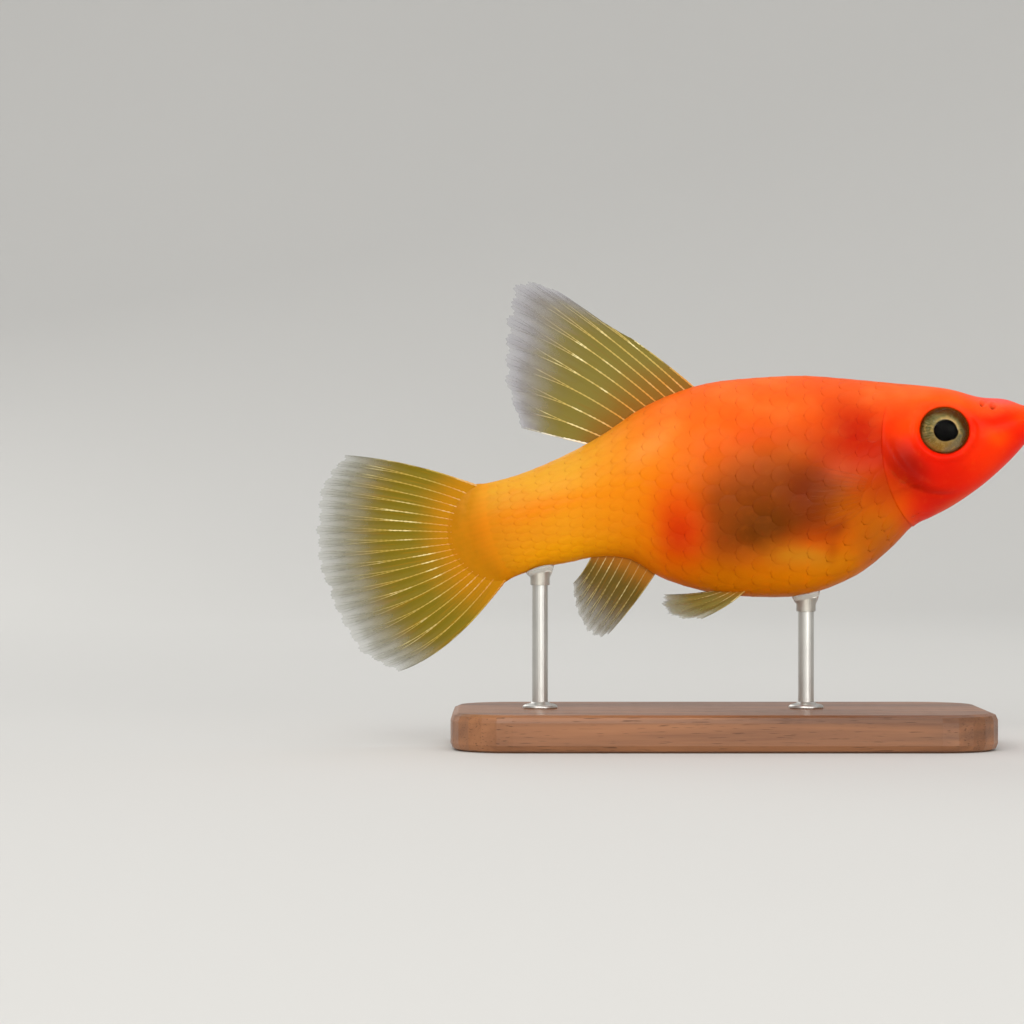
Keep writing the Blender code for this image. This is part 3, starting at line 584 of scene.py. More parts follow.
wet_skin, place, depth = skin_material("wet_skin")
colour, mottle = markings(place, depth)
# Painted shade: a dark red-brown in the hollows, the mouth slit, the nostrils, the eye sockets and a faint line
# on the gill slit.
hollow_shade = attribute(place, "hollow")
colour = blend(hollow_shade, colour, (84, 14, 4))
feed(wet_skin, {"Base Color": colour, "Roughness": 0.4 + 0.16 * mottle, "Coat Weight": 0.05 - 0.05 * hollow_shade,
                "Normal": bump(mottle + 0.5 * noise(place, 5200.0, 2.0), 0.35, 0.02)})
skin = make_piece("skin", points, [sides, snout, hind, hind_ends], wet_skin, ("head", "trunk", "tail"))
depths = swing(turn)
plain = body(at, turn)
along, off = from_mouth(plain)
# Where the painted shade of the hollows falls: the mouth slit, the nostrils, the eye sockets and the gill slit.
hollow = 0.85 * hump(off, 0.1) * ease(along, -0.1, 0.2)
for x, z, radius in NOSTRILS:
    hollow = np.maximum(hollow, 0.75 * hump(np.hypot(plain[..., 0] - x, plain[..., 2] - z), 0.8 * radius))
from_eye = eye_distance(plain)
hollow = np.maximum(hollow, 0.8 * ease(EYE_RADIUS + 0.02 - from_eye, 0, 0.1)) * (at <= GILLS)
hollow = np.maximum(hollow, 0.05 * (np.abs(at - GILLS - 0.01) < 0.012) * ease(depths, 0.1, 0.3))
set_attribute(skin, "depth", np.append(depths.ravel(), [0.5, 0.5]))
set_attribute(skin, "hollow", np.append(hollow.ravel(), [0.85, 0.0]))
set_attribute(skin, "fin_root", np.append(fin_root(at, turn).ravel(), [0.0, 1.0]))

# Thin round-edged scales lie like roof tiles in rows from the gill covers to the tail, with a few flatter
# ones on the nape. Each is a thin bony plate, rooted at its front, in the colours of the skin under it.
SCALE_ROWS, SCALES_ROUND, SCALE_SIDES = 28, 28, 14
NAPE_ROWS, NAPE_REACH, NAPE_WIDTH, EYE_CLEARANCE = 5, 2.7, 0.13, 2.8
NAPE_PITCH, NAPE_LIFT = 0.92, 0.6  # as shares of those of the scales behind
SCALE_LENGTH, SCALE_WIDTH, SCALE_SPREAD = 0.8, 0.6, 0.04  # half sizes as shares of the pitch
SCALE_TILT, SCALE_CROWN, SCALE_FOOT = 0.4, 0.006, 0.002
BARE_TAIL, SINK_RUN, TAIL_SINK = 1.3, 1.3, 0.03  # the last rows sink into the skin
FIRST_ROW, ROW_CROWDING = GILLS + 0.12, 0.2
SCALE_RINGS = ((1.0, -0.02), (0.92, -0.008), (0.78, 0.0))  # share of the scale's size, and height
rng = np.random.default_rng(7)
stations = np.linspace(GILLS - 3, LAST - BARE_TAIL, 600)
way = run_along(body(stations, np.full(600, 0.25)))
start = np.interp(FIRST_ROW, stations, way)
step = np.linspace(0, 1, SCALE_ROWS)
row_way = start + (way[-1] - start) * ((1 + ROW_CROWDING) * step - ROW_CROWDING * step ** 2)
pitch = np.gradient(row_way)
head_way = start - pitch[0] * np.arange(NAPE_ROWS, 0, -1) * NAPE_PITCH
row_way = np.concatenate([head_way, row_way])
pitch = np.concatenate([np.full(NAPE_ROWS, pitch[0] * NAPE_PITCH), pitch])
row_at = np.interp(row_way, way, stations)
row, place_round = np.meshgrid(np.arange(len(row_at)), np.arange(SCALES_ROUND), indexing="ij")
centre = (place_round + 0.5 * (row % 2) + 0.25) / SCALES_ROUND
centre_at = row_at[row]
on_head = centre_at < GILLS
from_back = np.minimum(centre, 1 - centre)
clear_of_eye = eye_distance(body(centre_at, even_turn(centre_at, centre))) > EYE_RADIUS + EYE_CLEARANCE
kept = ~on_head | ((from_back < NAPE_WIDTH) & (centre_at > GILLS - NAPE_REACH) & clear_of_eye)
centre, centre_at, on_head, pitch = centre[kept], centre_at[kept], on_head[kept], pitch[row[kept]]
angle = math.tau * np.arange(SCALE_SIDES) / SCALE_SIDES
outline = np.stack([np.sin(angle), -np.cos(angle)], -1)
local = np.concatenate([outline * size for size, _ in SCALE_RINGS] + [np.zeros((2, 2))])
sunk = np.append(np.repeat([height for _, height in SCALE_RINGS], SCALE_SIDES), [0.0, SCALE_RINGS[0][1]])
u, v = local[:, 0], local[:, 1]
perimeter = run_along(body(*np.meshgrid(stations[::10], np.linspace(0, 1, 241), indexing="ij")))[:, -1]
around = np.interp(centre_at, stations[::10], perimeter)[:, None]
station_length = np.interp(centre_at, (stations[1:] + stations[:-1]) / 2,
                           np.diff(way) / np.diff(stations))[:, None]
vary = (1 - SCALE_SPREAD, 1 + SCALE_SPREAD)
length = (SCALE_LENGTH * pitch * rng.uniform(*vary, len(pitch)))[:, None]
width = SCALE_WIDTH * around / SCALES_ROUND * rng.uniform(*vary, (len(pitch), 1))
scale_at = centre_at[:, None] + v * length / station_length
scale_turn = even_turn(scale_at, centre[:, None] + u * width / around)
lift = SCALE_TILT * COAT * (0.5 + 0.5 * v) - SCALE_CROWN * u ** 2
lift = np.where(on_head, NAPE_LIFT, 1.0)[:, None] * lift + sunk + SCALE_FOOT
lift = lift - TAIL_SINK * (1 - ease(LAST - scale_at, BARE_TAIL, BARE_TAIL + SINK_RUN))
plain = body(scale_at, scale_turn)
relief = np.where(on_head[:, None], head_relief(plain, np.minimum(scale_at, GILLS), scale_turn), 0)
points = plain + outward(scale_at, scale_turn) * (relief - COAT + lift)[..., None]
ring = np.arange(SCALE_SIDES)
parts = [wrapped_faces(3, SCALE_SIDES), cap(3 * SCALE_SIDES, 2 * SCALE_SIDES + ring),
         cap(3 * SCALE_SIDES + 1, ring[::-1])]


def repeated(parts, count, size):
    """The faces of like shapes whose points follow each other, size points to each."""
    offset = (np.arange(count) * size)[:, None, None]
    return [(part + offset).reshape(-1, part.shape[1]) for part in parts]


bony_scale, place, depth = skin_material("scale")
colour, mottle = markings(place, depth)
edge, tint = attribute(place, "edge"), attribute(place, "tint")
colour = layered(colour, (fit(edge, 0.75, 1.0) * 0.08, (190, 50, 4)), (tint * 0.03, (255, 130, 40)))
feed(bony_scale, {"Base Color": colour, "Roughness": 0.38 + 0.14 * mottle + 0.1 * tint,
                   "Coat Weight": 0.02 + 0.06 * tint,
                   "Normal": bump(mottle, 0.25, 0.015)})
scales = make_piece("scales", points.reshape(-1, 3), repeated(parts, len(centre), len(u)), bony_scale)
set_attribute(scales, "depth", swing(scale_turn).ravel())
set_attribute(scales, "fin_root", fin_root(scale_at, scale_turn).ravel())
set_attribute(scales, "edge", np.tile(np.clip(v, 0, 1) * np.hypot(u, v), len(centre)))
set_attribute(scales, "tint", np.repeat(rng.uniform(0, 1, len(centre)), len(u)))


def set_map(piece, name, values):
    """Writes a map of the piece's surface from one pair of numbers a point."""
    corner = np.empty(len(piece.data.loops), np.int32)
    piece.data.loops.foreach_get("vertex_index", corner)
    piece.data.uv_layers.new(name=name).data.foreach_set("uv", values[corner].astype(np.float32).ravel())


MAP_MARGIN, MAP_SCALE = 0.02, 0.0015  # each scale's own small place in the map
inside = 1 - 2 * MAP_MARGIN
set_map(scales, "OFBake", np.stack([(centre_at / LAST)[:, None] * inside + MAP_MARGIN + MAP_SCALE * v,
                                    centre[:, None] * inside + MAP_MARGIN + MAP_SCALE * u], -1).reshape(-1, 2))

# Each eye is a flattened ball in its socket: a dished grey-gold iris, a black lens that bulges through it,
# and over both a clear wet cornea. The iris carries a painted shadow of the brow, dark brown above, and is
# brightest round the lens.
PUPIL = 0.96
SIDES = (("left", 1), ("right", -1))
eye_x, eye_out, eye_z = EYE
iris, place = new_material("iris", {"Specular IOR Level": 0.04})
across, up = axis_of(place, 0) * 1000.0 - eye_x, (axis_of(place, 2) * 1000.0 - eye_z) / EYE_SQUASH
radius = (across * across + up * up) ** 0.5
angle = across.math("ARCTAN2", up, across)
flecks = noise(place, 2600.0, 3.0)
streaks = radius.node("ShaderNodeTexNoise", {"noise_dimensions": "2D"},
                      {"Vector": radius.node("ShaderNodeCombineXYZ", {}, {0: angle * 5.0, 1: radius * 0.7}),
                       "Scale": 2.2, "Detail": 3.0})
bright = (1.0 - fit(radius, PUPIL, PUPIL + 0.34)) * (0.25 + 0.6 * fit(up + across, 0.0, 1.2))
# Painted shade: a dark brown crescent over the top of the iris, where the brow shades it.
brow_shadow = ((across + 0.24) ** 2.0 + (up + 0.3) ** 2.0) ** 0.5 + 0.5 * (flecks - 0.5)
lens_edge = radius - 0.14 * fit(0.9 * across - 0.4 * up, 0.72, 1.05)
ring_colour = layered((80, 78, 44), (fit(streaks, 0.3, 0.7), (126, 116, 76)),
                      (fit(0.0 - up, 0.3, 1.5) * 0.75, (160, 118, 50)),
                      (fit(across - up, 1.1, 2.0) * 0.55, (104, 106, 94)),
                      (fit(flecks, 0.5, 0.68) * 0.5, (184, 152, 84)), (bright, (196, 164, 108)),
                      (fit(brow_shadow, 1.5, 1.95), (78, 42, 6)),
                      (fit(radius, 1.84, 1.99) * 0.6, (124, 76, 22)),
                      (1.0 - fit(lens_edge, PUPIL - 0.05, PUPIL + 0.03), (2, 2, 2)))
on_iris = fit(radius, PUPIL, PUPIL + 0.1)
feed(iris, {"Base Color": ring_colour, "Metallic": fit(flecks, 0.45, 0.7) * on_iris * 0.5,
            "Roughness": 0.5 - 0.2 * streaks * on_iris})
cornea, place = new_material("cornea", {"Roughness": 0.02, "Transmission Weight": 1.0, "IOR": 1.09})
feed(cornea, {"Base Color": blend(noise(place, 400.0), (252, 252, 248), (255, 255, 255))})
IRIS_RADIUS, IRIS_DEPTH, DISH_DEPTH, LENS_RISE = 1.99, 0.06, 0.16, 0.3
CORNEA_EDGE, CORNEA_WALL = 1.42, 0.04
back = [(EYE_RADIUS * 0.96 * math.sin(a), -EYE_DEPTH * 0.9 * math.cos(a)) for a in np.linspace(0, 1.45, 12)]
dish_at = np.linspace(IRIS_RADIUS, PUPIL, 22)
dish_height = (EYE_DEPTH * np.sqrt(1 - (dish_at / (EYE_RADIUS + 0.01)) ** 2) - IRIS_DEPTH
               - DISH_DEPTH * np.sin(math.pi / 2 * np.minimum((2.0 - dish_at) / 1.05, 1)))
dish = list(zip(dish_at, dish_height))
lens = [(PUPIL * math.cos(a), dish_height[-1] + LENS_RISE * math.sin(a))
        for a in np.linspace(0.02, math.pi / 2, 14)]
outer = [(EYE_RADIUS * math.sin(a), EYE_DEPTH * math.cos(a)) for a in np.linspace(CORNEA_EDGE, 0, 26)]
inner_face = [((EYE_RADIUS - 0.05) * math.sin(a), (EYE_DEPTH - CORNEA_WALL) * math.cos(a))
              for a in np.linspace(0, CORNEA_EDGE, 26)]
for side, sign in SIDES:
    turn_out = np.array([[1, 0, 0], [0, 0, sign], [0, -sign * EYE_SQUASH, 0]])
    for name, profile, made, nodes in ((f"eyeball_{side}", back + dish + lens, iris, (f"eye_{side}",)),
                                       (f"cornea_{side}", inner_face + outer, cornea, ())):
        points, faces = turned(profile, 64)
        points = points @ turn_out.T + (eye_x, sign * eye_out, eye_z)
        make_piece(name, points, faces, made, nodes)

# The dorsal fin gives the hifin its name: eleven branching bony rays in a thin web, the first one short.
# The rays are gold and jointed like cane. The web is olive and amber, and fades to a pale frayed edge.
FIN_SINK = 0.45  # depth that the rays root under the skin
DORSAL_BASE = (STATION["dorsal fin"] - 0.58, STATION["hind back"] + 0.22)
DORSAL_TIPS = ((-13.6, 37.5), (-15.3, 38.1), (-16.8, 38.1), (-17.4, 37.0), (-17.5, 35.6), (-17.6, 34.2),
               (-17.7, 32.7), (-17.7, 31.1), (-17.55, 29.5), (-17.1, 27.8), (-16.4, 26.0))
DORSAL_BOW, FIRST_RAY_BOW, DORSAL_LEAN = (0.45, 0.0, 0.81), (0.6, 0.0, 0.4), 1.1
DORSAL_RAYS = 11
FORK_SPREAD, END_RAY_SPREAD = 0.27, 0.25  # how far branches part, of the gap between rays, and less at the ends


def in_plane(pairs):
    """Points of the mid plane from x and z."""
    return np.insert(np.asarray(pairs, float), 1, 0, axis=-1)


def curve(points):
    """The smooth curve through points, over a share from 0 to 1."""
    return lambda share: smooth_through(points, share * (len(points) - 1))


def leaning(amount, foot, crest):
    """A fin's lean aside: none at its foot, growing with the square of the height to amount at its crest."""
    return lambda x, z: amount * np.clip((z - foot) / (crest - foot), 0, 1) ** 2


def edge_of_body(turn, first, last_station, sink):
    """The back (turn 0) or belly (turn 0.5) between two stations, a depth under the skin, over the share."""
    def line(share):
        at = first + (last_station - first) * share
        around_it = np.full_like(share, turn)
        return (body(at, around_it) - sink * outward(at, around_it)) * (1, 0, 1)
    return line


def fan(roots, tips, bow, lean):
    """A fin as a surface: share runs from its first ray to its last, t from a ray's root to its tip.

    Each ray is a parabola whose middle is pushed out by bow, and the fin leans aside by lean(x, z)."""
    def surface(share, t):
        root, tip = roots(share), tips(share)
        middle, t = (root + tip) / 2 + bow(share), t[..., None]
        points = (1 - t) ** 2 * root + 2 * t * (1 - t) * middle + t ** 2 * tip
        points[..., 1] += lean(points[..., 0], points[..., 2])
        return points
    return surface


def facing(surface, share, t, step=1e-3):
    """The surface's unit normal: its slope from ray to ray crossed with its slope along a ray."""
    across = surface(np.clip(share + step, 0, 1), t) - surface(np.clip(share - step, 0, 1), t)
    return unit(np.cross(across, surface(share, t + step) - surface(share, t - step)))


def frayed(rays, notch, edge=lambda share: 1.0, seed=3):
    """How far the web reaches along its rays over the share: drawn in between rays, torn here and there."""
    phase = np.random.default_rng(seed).uniform(0, math.tau, 4)

    def reach(share):
        between, fine = swing(share * (rays - 1)), swing(4 * share * (rays - 1))
        wave = sum(np.sin(k * share + p) for k, p in zip((9.0, 23.0, 41.0, 67.0), phase)) / 4
        return edge(share) * (1 - notch * (0.6 * between ** 2 + 0.4 * fine + 0.35 + 0.6 * wave))
    return reach


def web(name, surface, reach, rays, made, nodes, across=12, rows=64, thick=(0.12, 0.028), sag=0.08,
        flare=0.0):
    """The fin's thin skin, closed all round: thinner outwards, and sagging to one side between the rays."""
    columns = (rays - 1) * across + 1
    t, share = np.meshgrid(np.linspace(0, 1, rows), np.linspace(0, 1, columns), indexing="ij")
    t = t * reach(share)
    normal = facing(surface, share, t)
    fold = sag * swing(share * (rays - 1)) * ease(t, 0.08, 0.7)
    half = thick[0] + (thick[1] - thick[0]) * t + flare * hump(t, 0.1)
    flat = surface(share, t) + normal * fold[..., None]
    sides = [(flat + normal * (half * way / 2)[..., None]).reshape(-1, 3) for way in (1, -1)]
    index = np.arange(flat.size // 3).reshape(rows, columns)
    loop = np.concatenate([index[0, :-1], index[:-1, -1], index[-1, :0:-1], index[:0:-1, 0]])
    after, count = np.roll(loop, -1), index.size
    front = wrapped_faces(rows, columns, closed=False)
    rim = np.stack([after, loop, loop + count, after + count], 1)
    piece = make_piece(name, np.concatenate(sides), [front, front[:, ::-1] + count, rim], made, nodes)
    set_map(piece, "fin", np.tile(np.stack([share.ravel(), t.ravel()], 1), (2, 1)))


def rods(name, surface, reach, rays, made, thick, splits=(0.4, 0.7), sides=6, rows=56, joint=0.42,
         swell=0.0):
    """All rays of a fin: each is one rod that parts in two and then four, in short joints, and thins outwards.

    The first and the last ray part less than the others. Roots are thicker by swell."""
    overlap = 0.02
    branches = [(0, 0, 0.0, splits[0] + overlap, 0)]
    branches += [(a, 0, splits[0], splits[1] + overlap, 1) for a in (-1, 1)]
    branches += [(a, b, splits[1], 1.0, 2) for a in (-1, 1) for b in (-1, 1)]
    lines = [(k, *branch) for k in range(rays) for branch in branches]
    ray, first_fork, second_fork, start, stop, level = np.array(lines, float).T[:, :, None]
    t = start + (stop - start) * np.linspace(0, 1, rows)
    spread = FORK_SPREAD * np.where(np.isin(ray, (0, rays - 1)), END_RAY_SPREAD, 1.0)
    share = (ray + spread * (first_fork * ease(t, splits[0] - 0.06, 1.15)
                             + 0.52 * second_fork * ease(t, splits[1] - 0.05, 1.15))) / (rays - 1)
    share = np.clip(share, 0.001, 0.999)
    t = t * np.minimum(reach(share), reach(np.clip(ray / (rays - 1), 0, 1)))
    middle = surface(share, t)
    normal = facing(surface, share, t)
    aside = np.cross(unit(np.gradient(middle, axis=1)), normal)
    way = run_along(middle)
    radius = thick * (1 - 0.62 * t) * np.array([1.0, 0.8, 0.62])[level.astype(int)]
    radius = (radius + swell * hump(t, 0.1)) * (1 + 0.1 * np.cos(math.tau * way / joint))
    radius = radius * np.where(level == 2, 1 - ease(t / np.maximum(t[:, -1:], 1e-6), 0.9, 1.02), 1.0)
    angle = math.tau * np.arange(sides) / sides
    ring = (np.cos(angle)[:, None] * normal[:, :, None] + np.sin(angle)[:, None] * aside[:, :, None])
    tube = middle[:, :, None] + ring * radius[:, :, None, None]
    ends = middle[:, [0, -1]]
    points = np.concatenate([tube.reshape(len(lines), -1, 3), ends], axis=1)
    end, foot = np.arange(sides), rows * sides
    parts = [wrapped_faces(rows, sides), cap(foot, end[::-1]), cap(foot + 1, foot - sides + end)]
    piece = make_piece(name, points.reshape(-1, 3), repeated(parts, len(lines), foot + 2), made)
    values = np.stack([np.broadcast_to(share, t.shape), t], -1)
    values = np.concatenate([np.repeat(values, sides, axis=1), values[:, [0, -1]]], axis=1)
    set_map(piece, "fin", values.reshape(-1, 2))


def fin_map(place):
    """The fin's map, and its parts: the share from the first ray to the last, and t from root to tip."""
    spot = place.node("ShaderNodeUVMap", {"uv_map": "fin"}, {})
    return spot, axis_of(spot, 0), axis_of(spot, 1)


def web_material(name, root, middle, outer, rays, opacity=(0.92, 0.5)):
    """A fin's web: three colours outwards, streaked along the rays, and see-through towards the edge."""
    made, place = new_material(name, {"IOR": 1.22, "Specular Tint": (1.0, 0.8, 0.5, 1.0),
                                      "Coat Roughness": 0.2, "Coat Weight": 0.02})
    spot, share, t = fin_map(place)
    streak = noise(spot, (rays * 3.2, 2.2, 1.0), 3.0)
    t = t + 0.22 * (streak - 0.5) + 0.12 * (noise(place, 420.0, 2.0) - 0.5)
    between = 0.5 - 0.5 * share.math("COSINE", share * (math.tau * (rays - 1)))
    clear, streaked = fit(t, 0.35, 1.0), fit(streak, 0.5, 0.72)
    colour = layered(root, (fit(t, 0.02, 0.36), middle), (streaked * 0.35 * (1.0 - clear), root),
                     (fit(t, 0.58, 1.0), outer), (streaked * 0.3 * clear, middle))
    alpha = opacity[0] + (opacity[1] - opacity[0]) * clear
    alpha = alpha * (1.0 + clear * (1.1 * (streak - 0.5) - 0.25 * between)) * (1.0 - 0.75 * fit(t, 0.82, 1.04))
    feed(made, {"Base Color": colour, "Alpha": alpha, "Roughness": 0.32 + 0.25 * streak,
                "Normal": bump(streak + 0.4 * noise(place, 3800.0), 0.3, 0.02)})
    return made


def ray_material(name, root, middle, outer, opacity=1.0, last=0.0, shine=0.85):
    """Bony rays in three colours outwards, with bright glints painted into the colour as highlights, and clear
    tips. The last one is white by last.
    """
    made, place = new_material(name, {"Specular IOR Level": 0.4, "Coat Roughness": 0.1, "Coat Weight": 0.15})
    _, share, t = fin_map(place)
    # Painted highlights: bright cream glints in the colour, where the rays are also a little smoother and more
    # metallic.
    glint = fit(noise(place, 400.0, 2.0), 0.5, 0.66) * (0.3 + 0.7 * fit(t, 0.06, 0.26)) * shine
    colour = layered(root, (fit(t, 0.04, 0.3), middle), (fit(t, 0.5, 0.85), outer),
                     (glint * (1.0 - fit(t, 0.55, 0.85)), (255, 240, 176)),
                     (fit(share, 0.95, 0.99) * last, (255, 250, 228)))
    feed(made, {"Base Color": colour, "Alpha": opacity - 0.75 * opacity * fit(t, 0.5, 1.0),
                "Roughness": 0.36 - 0.14 * glint, "Metallic": 0.2 * glint})
    return made


dorsal_web = web_material("dorsal_web", (134, 94, 30), (124, 112, 50), (138, 136, 150), DORSAL_RAYS)
gold_ray = ray_material("gold_ray", (206, 138, 40), (188, 162, 78), (160, 156, 150), last=0.8)
dorsal_tips = curve(in_plane(DORSAL_TIPS))
dorsal = fan(edge_of_body(0.0, *DORSAL_BASE, FIN_SINK),
             lambda share: dorsal_tips(np.clip((share - 0.1) / 0.9, 0, 1)),
             lambda share: np.sin(math.pi * share)[..., None] * DORSAL_BOW
             + np.clip(1 - share / 0.2, 0, 1)[..., None] * FIRST_RAY_BOW,
             leaning(DORSAL_LEAN, STATIONS["hind back"][1], max(z for x, z in DORSAL_TIPS)))
reach = frayed(DORSAL_RAYS, 0.035, lambda share: 0.5 + 0.16 * ease(share, 0.0, 0.09)
               + 0.34 * ease(share, 0.085, 0.105), seed=5)
web("dorsal_web", dorsal, reach, DORSAL_RAYS, dorsal_web, ("dorsal_fin",), across=16)
rods("dorsal_rays", dorsal, reach, DORSAL_RAYS, gold_ray, 0.095)

# The tail fin is a round fan of twenty rays on the end of the tail, fringed where its branches run out.
# Its rays start amber, as streaks over the tail's root, and end in a grey fringe.
CAUDAL_TIPS = ((-31.0, 23.8), (-32.5, 21.9), (-33.1, 19.3), (-33.2, 16.4), (-32.7, 13.5), (-31.4, 10.5),
               (-29.3, 7.4), (-26.4, 6.0))
CAUDAL_BOW = (0.9, -2.5)
CAUDAL_TWIST, CAUDAL_TWIST_RUN, CAUDAL_HALF_HEIGHT = 0.6, 12.0, 8.0
CAUDAL_RAYS = 20
tail_top, tail_low = STATIONS["tail root"][0], STATIONS["tail root"][3]


def tail_roots(share):
    """Roots on the bowed end of the tail, a little inside it, from the top to the bottom."""
    at = np.full_like(share, LAST)
    widest = knots(WIDEST, at)
    rise = np.where(share < widest, 1 - share / widest, (widest - share) / (1 - widest))
    root = body(at, np.arccos(np.clip(rise, -1, 1)) / math.tau) * (1, 0, 1)
    return root + np.stack([0 * share + 0.9, 0 * share, 0.95 * share ** 3 - 0.15 * (1 - share)], -1)


def tail_bow(share):
    up = CAUDAL_BOW[0] + (CAUDAL_BOW[1] - CAUDAL_BOW[0]) * share ** 1.5
    return np.stack([0 * share, 0 * share, up], -1)


def tail_curl(x, z):
    """The upper corner curls to the left and the lower one to the right."""
    run = np.maximum((tail_top - x) / CAUDAL_TWIST_RUN, 0)
    return CAUDAL_TWIST * run ** 2 * (z - tail_low) / CAUDAL_HALF_HEIGHT


caudal_web = web_material("caudal_web", (182, 120, 2), (120, 104, 26), (142, 144, 134), CAUDAL_RAYS,
                          (1.0, 0.5))
caudal_ray = ray_material("caudal_ray", (200, 128, 14), (176, 146, 46), (148, 148, 130), shine=0.6)
caudal = fan(tail_roots, curve(in_plane(CAUDAL_TIPS)), tail_bow, tail_curl)
reach = frayed(CAUDAL_RAYS, 0.035, seed=8)
web("caudal_web", caudal, reach, CAUDAL_RAYS, caudal_web, ("caudal_fin",), thick=(0.11, 0.028),
    flare=0.13)
rods("caudal_rays", caudal, reach, CAUDAL_RAYS, caudal_ray, 0.085, splits=(0.36, 0.66), swell=0.06)

# The anal fin and the two pelvic fins are small fans under the belly, olive with paler ray tips.
# Their webs are finer and clearer than the dorsal fin's, and their edges ragged.
ANAL_BASE = (STATION["hind back"] + 0.12, STATION["dorsal fin"] + 0.24)
ANAL_TIPS = ((-9.3, 8.9), (-10.2, 8.7), (-11.0, 9.4), (-11.6, 10.4), (-12.0, 11.7), (-12.1, 13.2))
ANAL_BOW, ANAL_LEAN = (0.2, 0.0, -0.25), 0.35
ANAL_RAYS = 9
anal_web = web_material("anal_web", (170, 104, 22), (98, 80, 28), (112, 106, 86), ANAL_RAYS)
pale_ray = ray_material("pale_ray", (176, 122, 44), (158, 138, 76), (170, 164, 136), shine=0.5)
anal = fan(edge_of_body(0.5, *ANAL_BASE, FIN_SINK), curve(in_plane(ANAL_TIPS[::-1])), lambda share: ANAL_BOW,
           leaning(ANAL_LEAN, STATIONS["anal fin"][3], min(z for x, z in ANAL_TIPS)))
reach = frayed(ANAL_RAYS, 0.045, seed=4)
web("anal_web", anal, reach, ANAL_RAYS, anal_web, ("anal_fin",), across=10, rows=40)
rods("anal_rays", anal, reach, ANAL_RAYS, pale_ray, 0.08, rows=36, joint=0.36)
PELVIC_ROOTS = ((2.1, 2.2, 11.8), (0.3, 1.0, 11.8))
PELVIC_TIPS = ((-1.95, 3.9, 10.35), (-3.4, 3.75, 10.4), (-4.4, 3.3, 10.8), (-4.9, 2.65, 11.5),
               (-4.6, 1.9, 12.3))
PELVIC_BOW, PELVIC_RAYS = (0.4, 0.15, -0.3), 5
near_at, near_turn = np.meshgrid(np.linspace(1, LAST, 700), np.arange(120) / 240, indexing="ij")
left_skin, left_normal = body(near_at, near_turn), outward(near_at, near_turn)


def side_fan(anchors, tips, bow, sign, sink):
    """A paired fin, rooted at the skin nearest to its anchors. sign is -1 for the right side's mirror image."""
    roots, flip = [], np.array([1, sign, 1])
    for place in curve(anchors)(np.linspace(0, 1, 5)):
        nearest = np.unravel_index(np.argmin(((left_skin - place) ** 2).sum(-1)), near_at.shape)
        roots.append(left_skin[nearest] - sink * left_normal[nearest])
    return fan(curve(roots * flip), curve(tips * flip), lambda share: bow * flip, lambda x, z: 0)


pelvic_web = web_material("pelvic_web", (170, 116, 30), (124, 112, 56), (148, 146, 122), PELVIC_RAYS,
                          (0.9, 0.5))
for side, sign in SIDES:
    pelvic = side_fan(PELVIC_ROOTS, PELVIC_TIPS, PELVIC_BOW, sign, FIN_SINK)
    reach = frayed(PELVIC_RAYS, 0.07, seed=2)
    web(f"pelvic_web_{side}", pelvic, reach, PELVIC_RAYS, pelvic_web, (f"pelvic_fin_{side}",),
        across=12, rows=36)
    rods(f"pelvic_rays_{side}", pelvic, reach, PELVIC_RAYS, pale_ray, 0.075, rows=36, joint=0.34)

# The pectoral fins stand out from the shoulders behind the gill covers. They are as clear as film,
# so that little more than their hair-fine rays shows against the flank.
PECTORAL_ROOTS = ((12.0, 5.0, 21.6), (11.7, 5.0, 19.4))
PECTORAL_TIPS = ((5.9, 7.2, 22.9), (4.6, 7.6, 21.7), (4.1, 7.7, 20.1), (4.4, 7.6, 18.4), (5.8, 7.2, 16.9))
PECTORAL_BOW, PECTORAL_RAYS = (1.9, 0.9, 0.0), 11
film = web_material("clear_film", (150, 60, 6), (150, 66, 14), (160, 84, 30), PECTORAL_RAYS,
                    (0.02, 0.015))
hair_ray = ray_material("hair_ray", (214, 96, 24), (176, 78, 20), (165, 84, 30), 0.16, shine=0.1)
for side, sign in SIDES:
    pectoral = side_fan(PECTORAL_ROOTS, PECTORAL_TIPS, PECTORAL_BOW, sign, 0.3)
    reach = frayed(PECTORAL_RAYS, 0.05, seed=6)
    web(f"pectoral_web_{side}", pectoral, reach, PECTORAL_RAYS, film, (f"pectoral_fin_{side}",),
        across=8, rows=36, thick=(0.12, 0.03), sag=0.04)
    rods(f"pectoral_rays_{side}", pectoral, reach, PECTORAL_RAYS, hair_ray, 0.026,
         rows=40, joint=0.3)

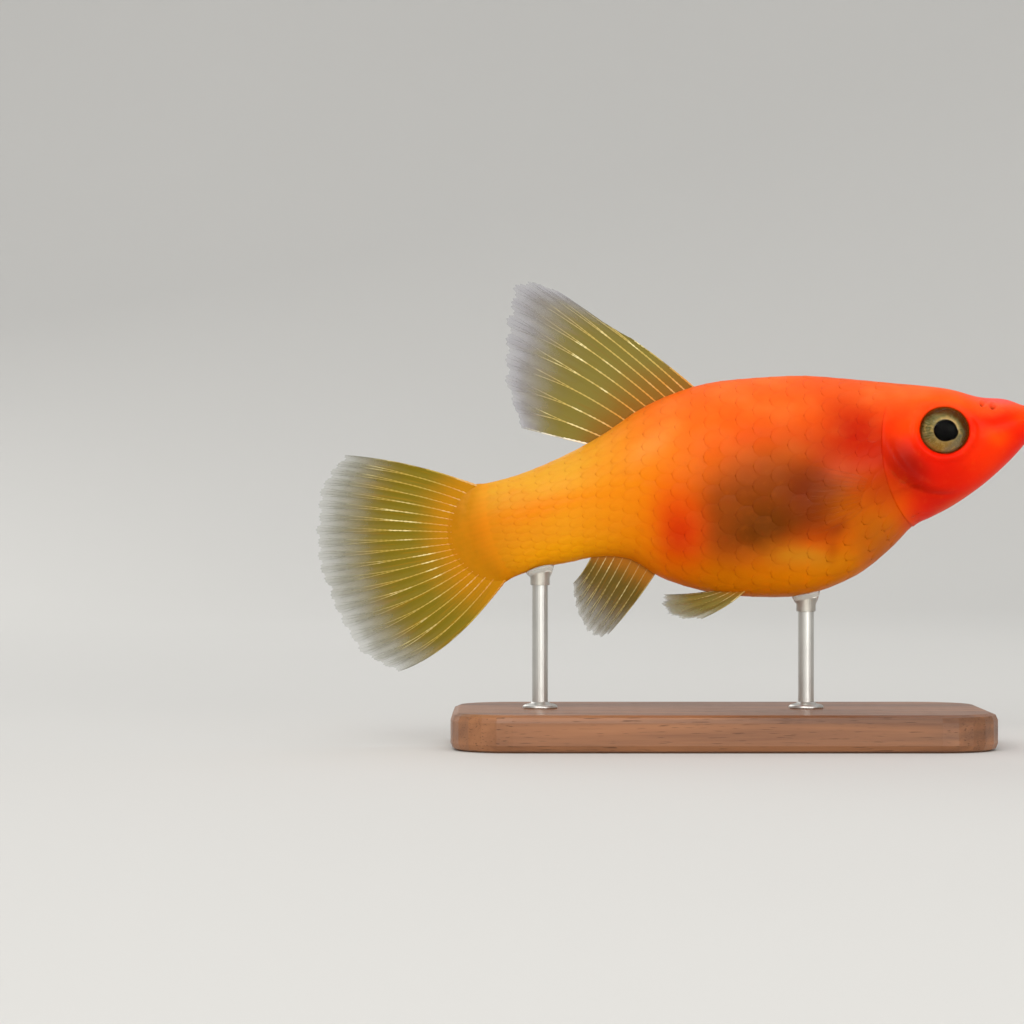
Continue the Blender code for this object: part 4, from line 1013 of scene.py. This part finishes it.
# The set: a pale floor that sweeps up on all sides, soft light from above and in front, and the camera.
floor_paint, place = new_material("pale_floor", {"Roughness": 0.9, "Specular IOR Level": 0.2})
feed(floor_paint, {"Base Color": blend(noise(place, 6.0), (206, 205, 202), (210, 209, 206))})
FLAT_RADIUS, SWEEP_RUN, SWEEP_HEIGHT = 380.0, 700.0, 900.0
sweep = [(0.0, 0.0), (200.0, 0.0), (FLAT_RADIUS, 0.0)]
sweep += [(FLAT_RADIUS + SWEEP_RUN * s, SWEEP_HEIGHT * s ** 2.4) for s in np.linspace(0.03, 1.0, 30)]
points, faces = turned(sweep, 128)
floor = make_mesh("floor", points, [part[:, ::-1] for part in faces], floor_paint)


def light(name, place, aim, width, height, power, colour, spread=180):
    """A soft light at a place, aimed at a point. Places and sizes in millimetres, power in watts."""
    lamp = bpy.data.lights.new(name, "AREA")
    lamp.shape, lamp.size, lamp.size_y = "RECTANGLE", width * MM, height * MM
    lamp.energy, lamp.color, lamp.spread = power, colour, math.radians(spread)
    thing = add_object(name, lamp)
    thing.location = [value * MM for value in place]
    away = np.array(place, float) - np.array(aim, float)
    length = np.linalg.norm(away)
    thing.rotation_euler = (math.acos(away[2] / length), 0, math.atan2(away[1], away[0]) + math.pi / 2)
    thing.visible_camera = False


light("key", (-140, -480, 260), (0, 0, 20), 380, 380, 0.52, (1.0, 0.98, 0.95), spread=100)
light("fill", (220, -440, 97), (0, 0, 18), 340, 150, 0.24, (1.0, 0.98, 0.96), spread=100)
light("overhead", (0, 40, 620), (0, 0, 20), 420, 420, 0.5, (1.0, 1.0, 1.0))
light("behind", (-260, 420, 260), (-10, 0, 22), 260, 260, 0.5, (1.0, 0.99, 0.97))
world = bpy.data.worlds.new("studio")
world.use_nodes = True
for name, value in (("Color", (1.0, 1.0, 1.0, 1.0)), ("Strength", 0.82)):
    world.node_tree.nodes["Background"].inputs[name].default_value = value
bpy.context.scene.world = world
bpy.context.scene.view_settings.view_transform = "Standard"
optics = bpy.data.cameras.new("camera")
optics.lens, optics.sensor_width = 128.6, 36.0
optics.clip_start, optics.clip_end = 0.005, 10.0
camera = add_object("camera", optics)
camera.location = (-17.06 * MM, -300.0 * MM, 19.1 * MM)
camera.rotation_euler = (math.radians(90), 0, 0)
bpy.context.scene.camera = camera
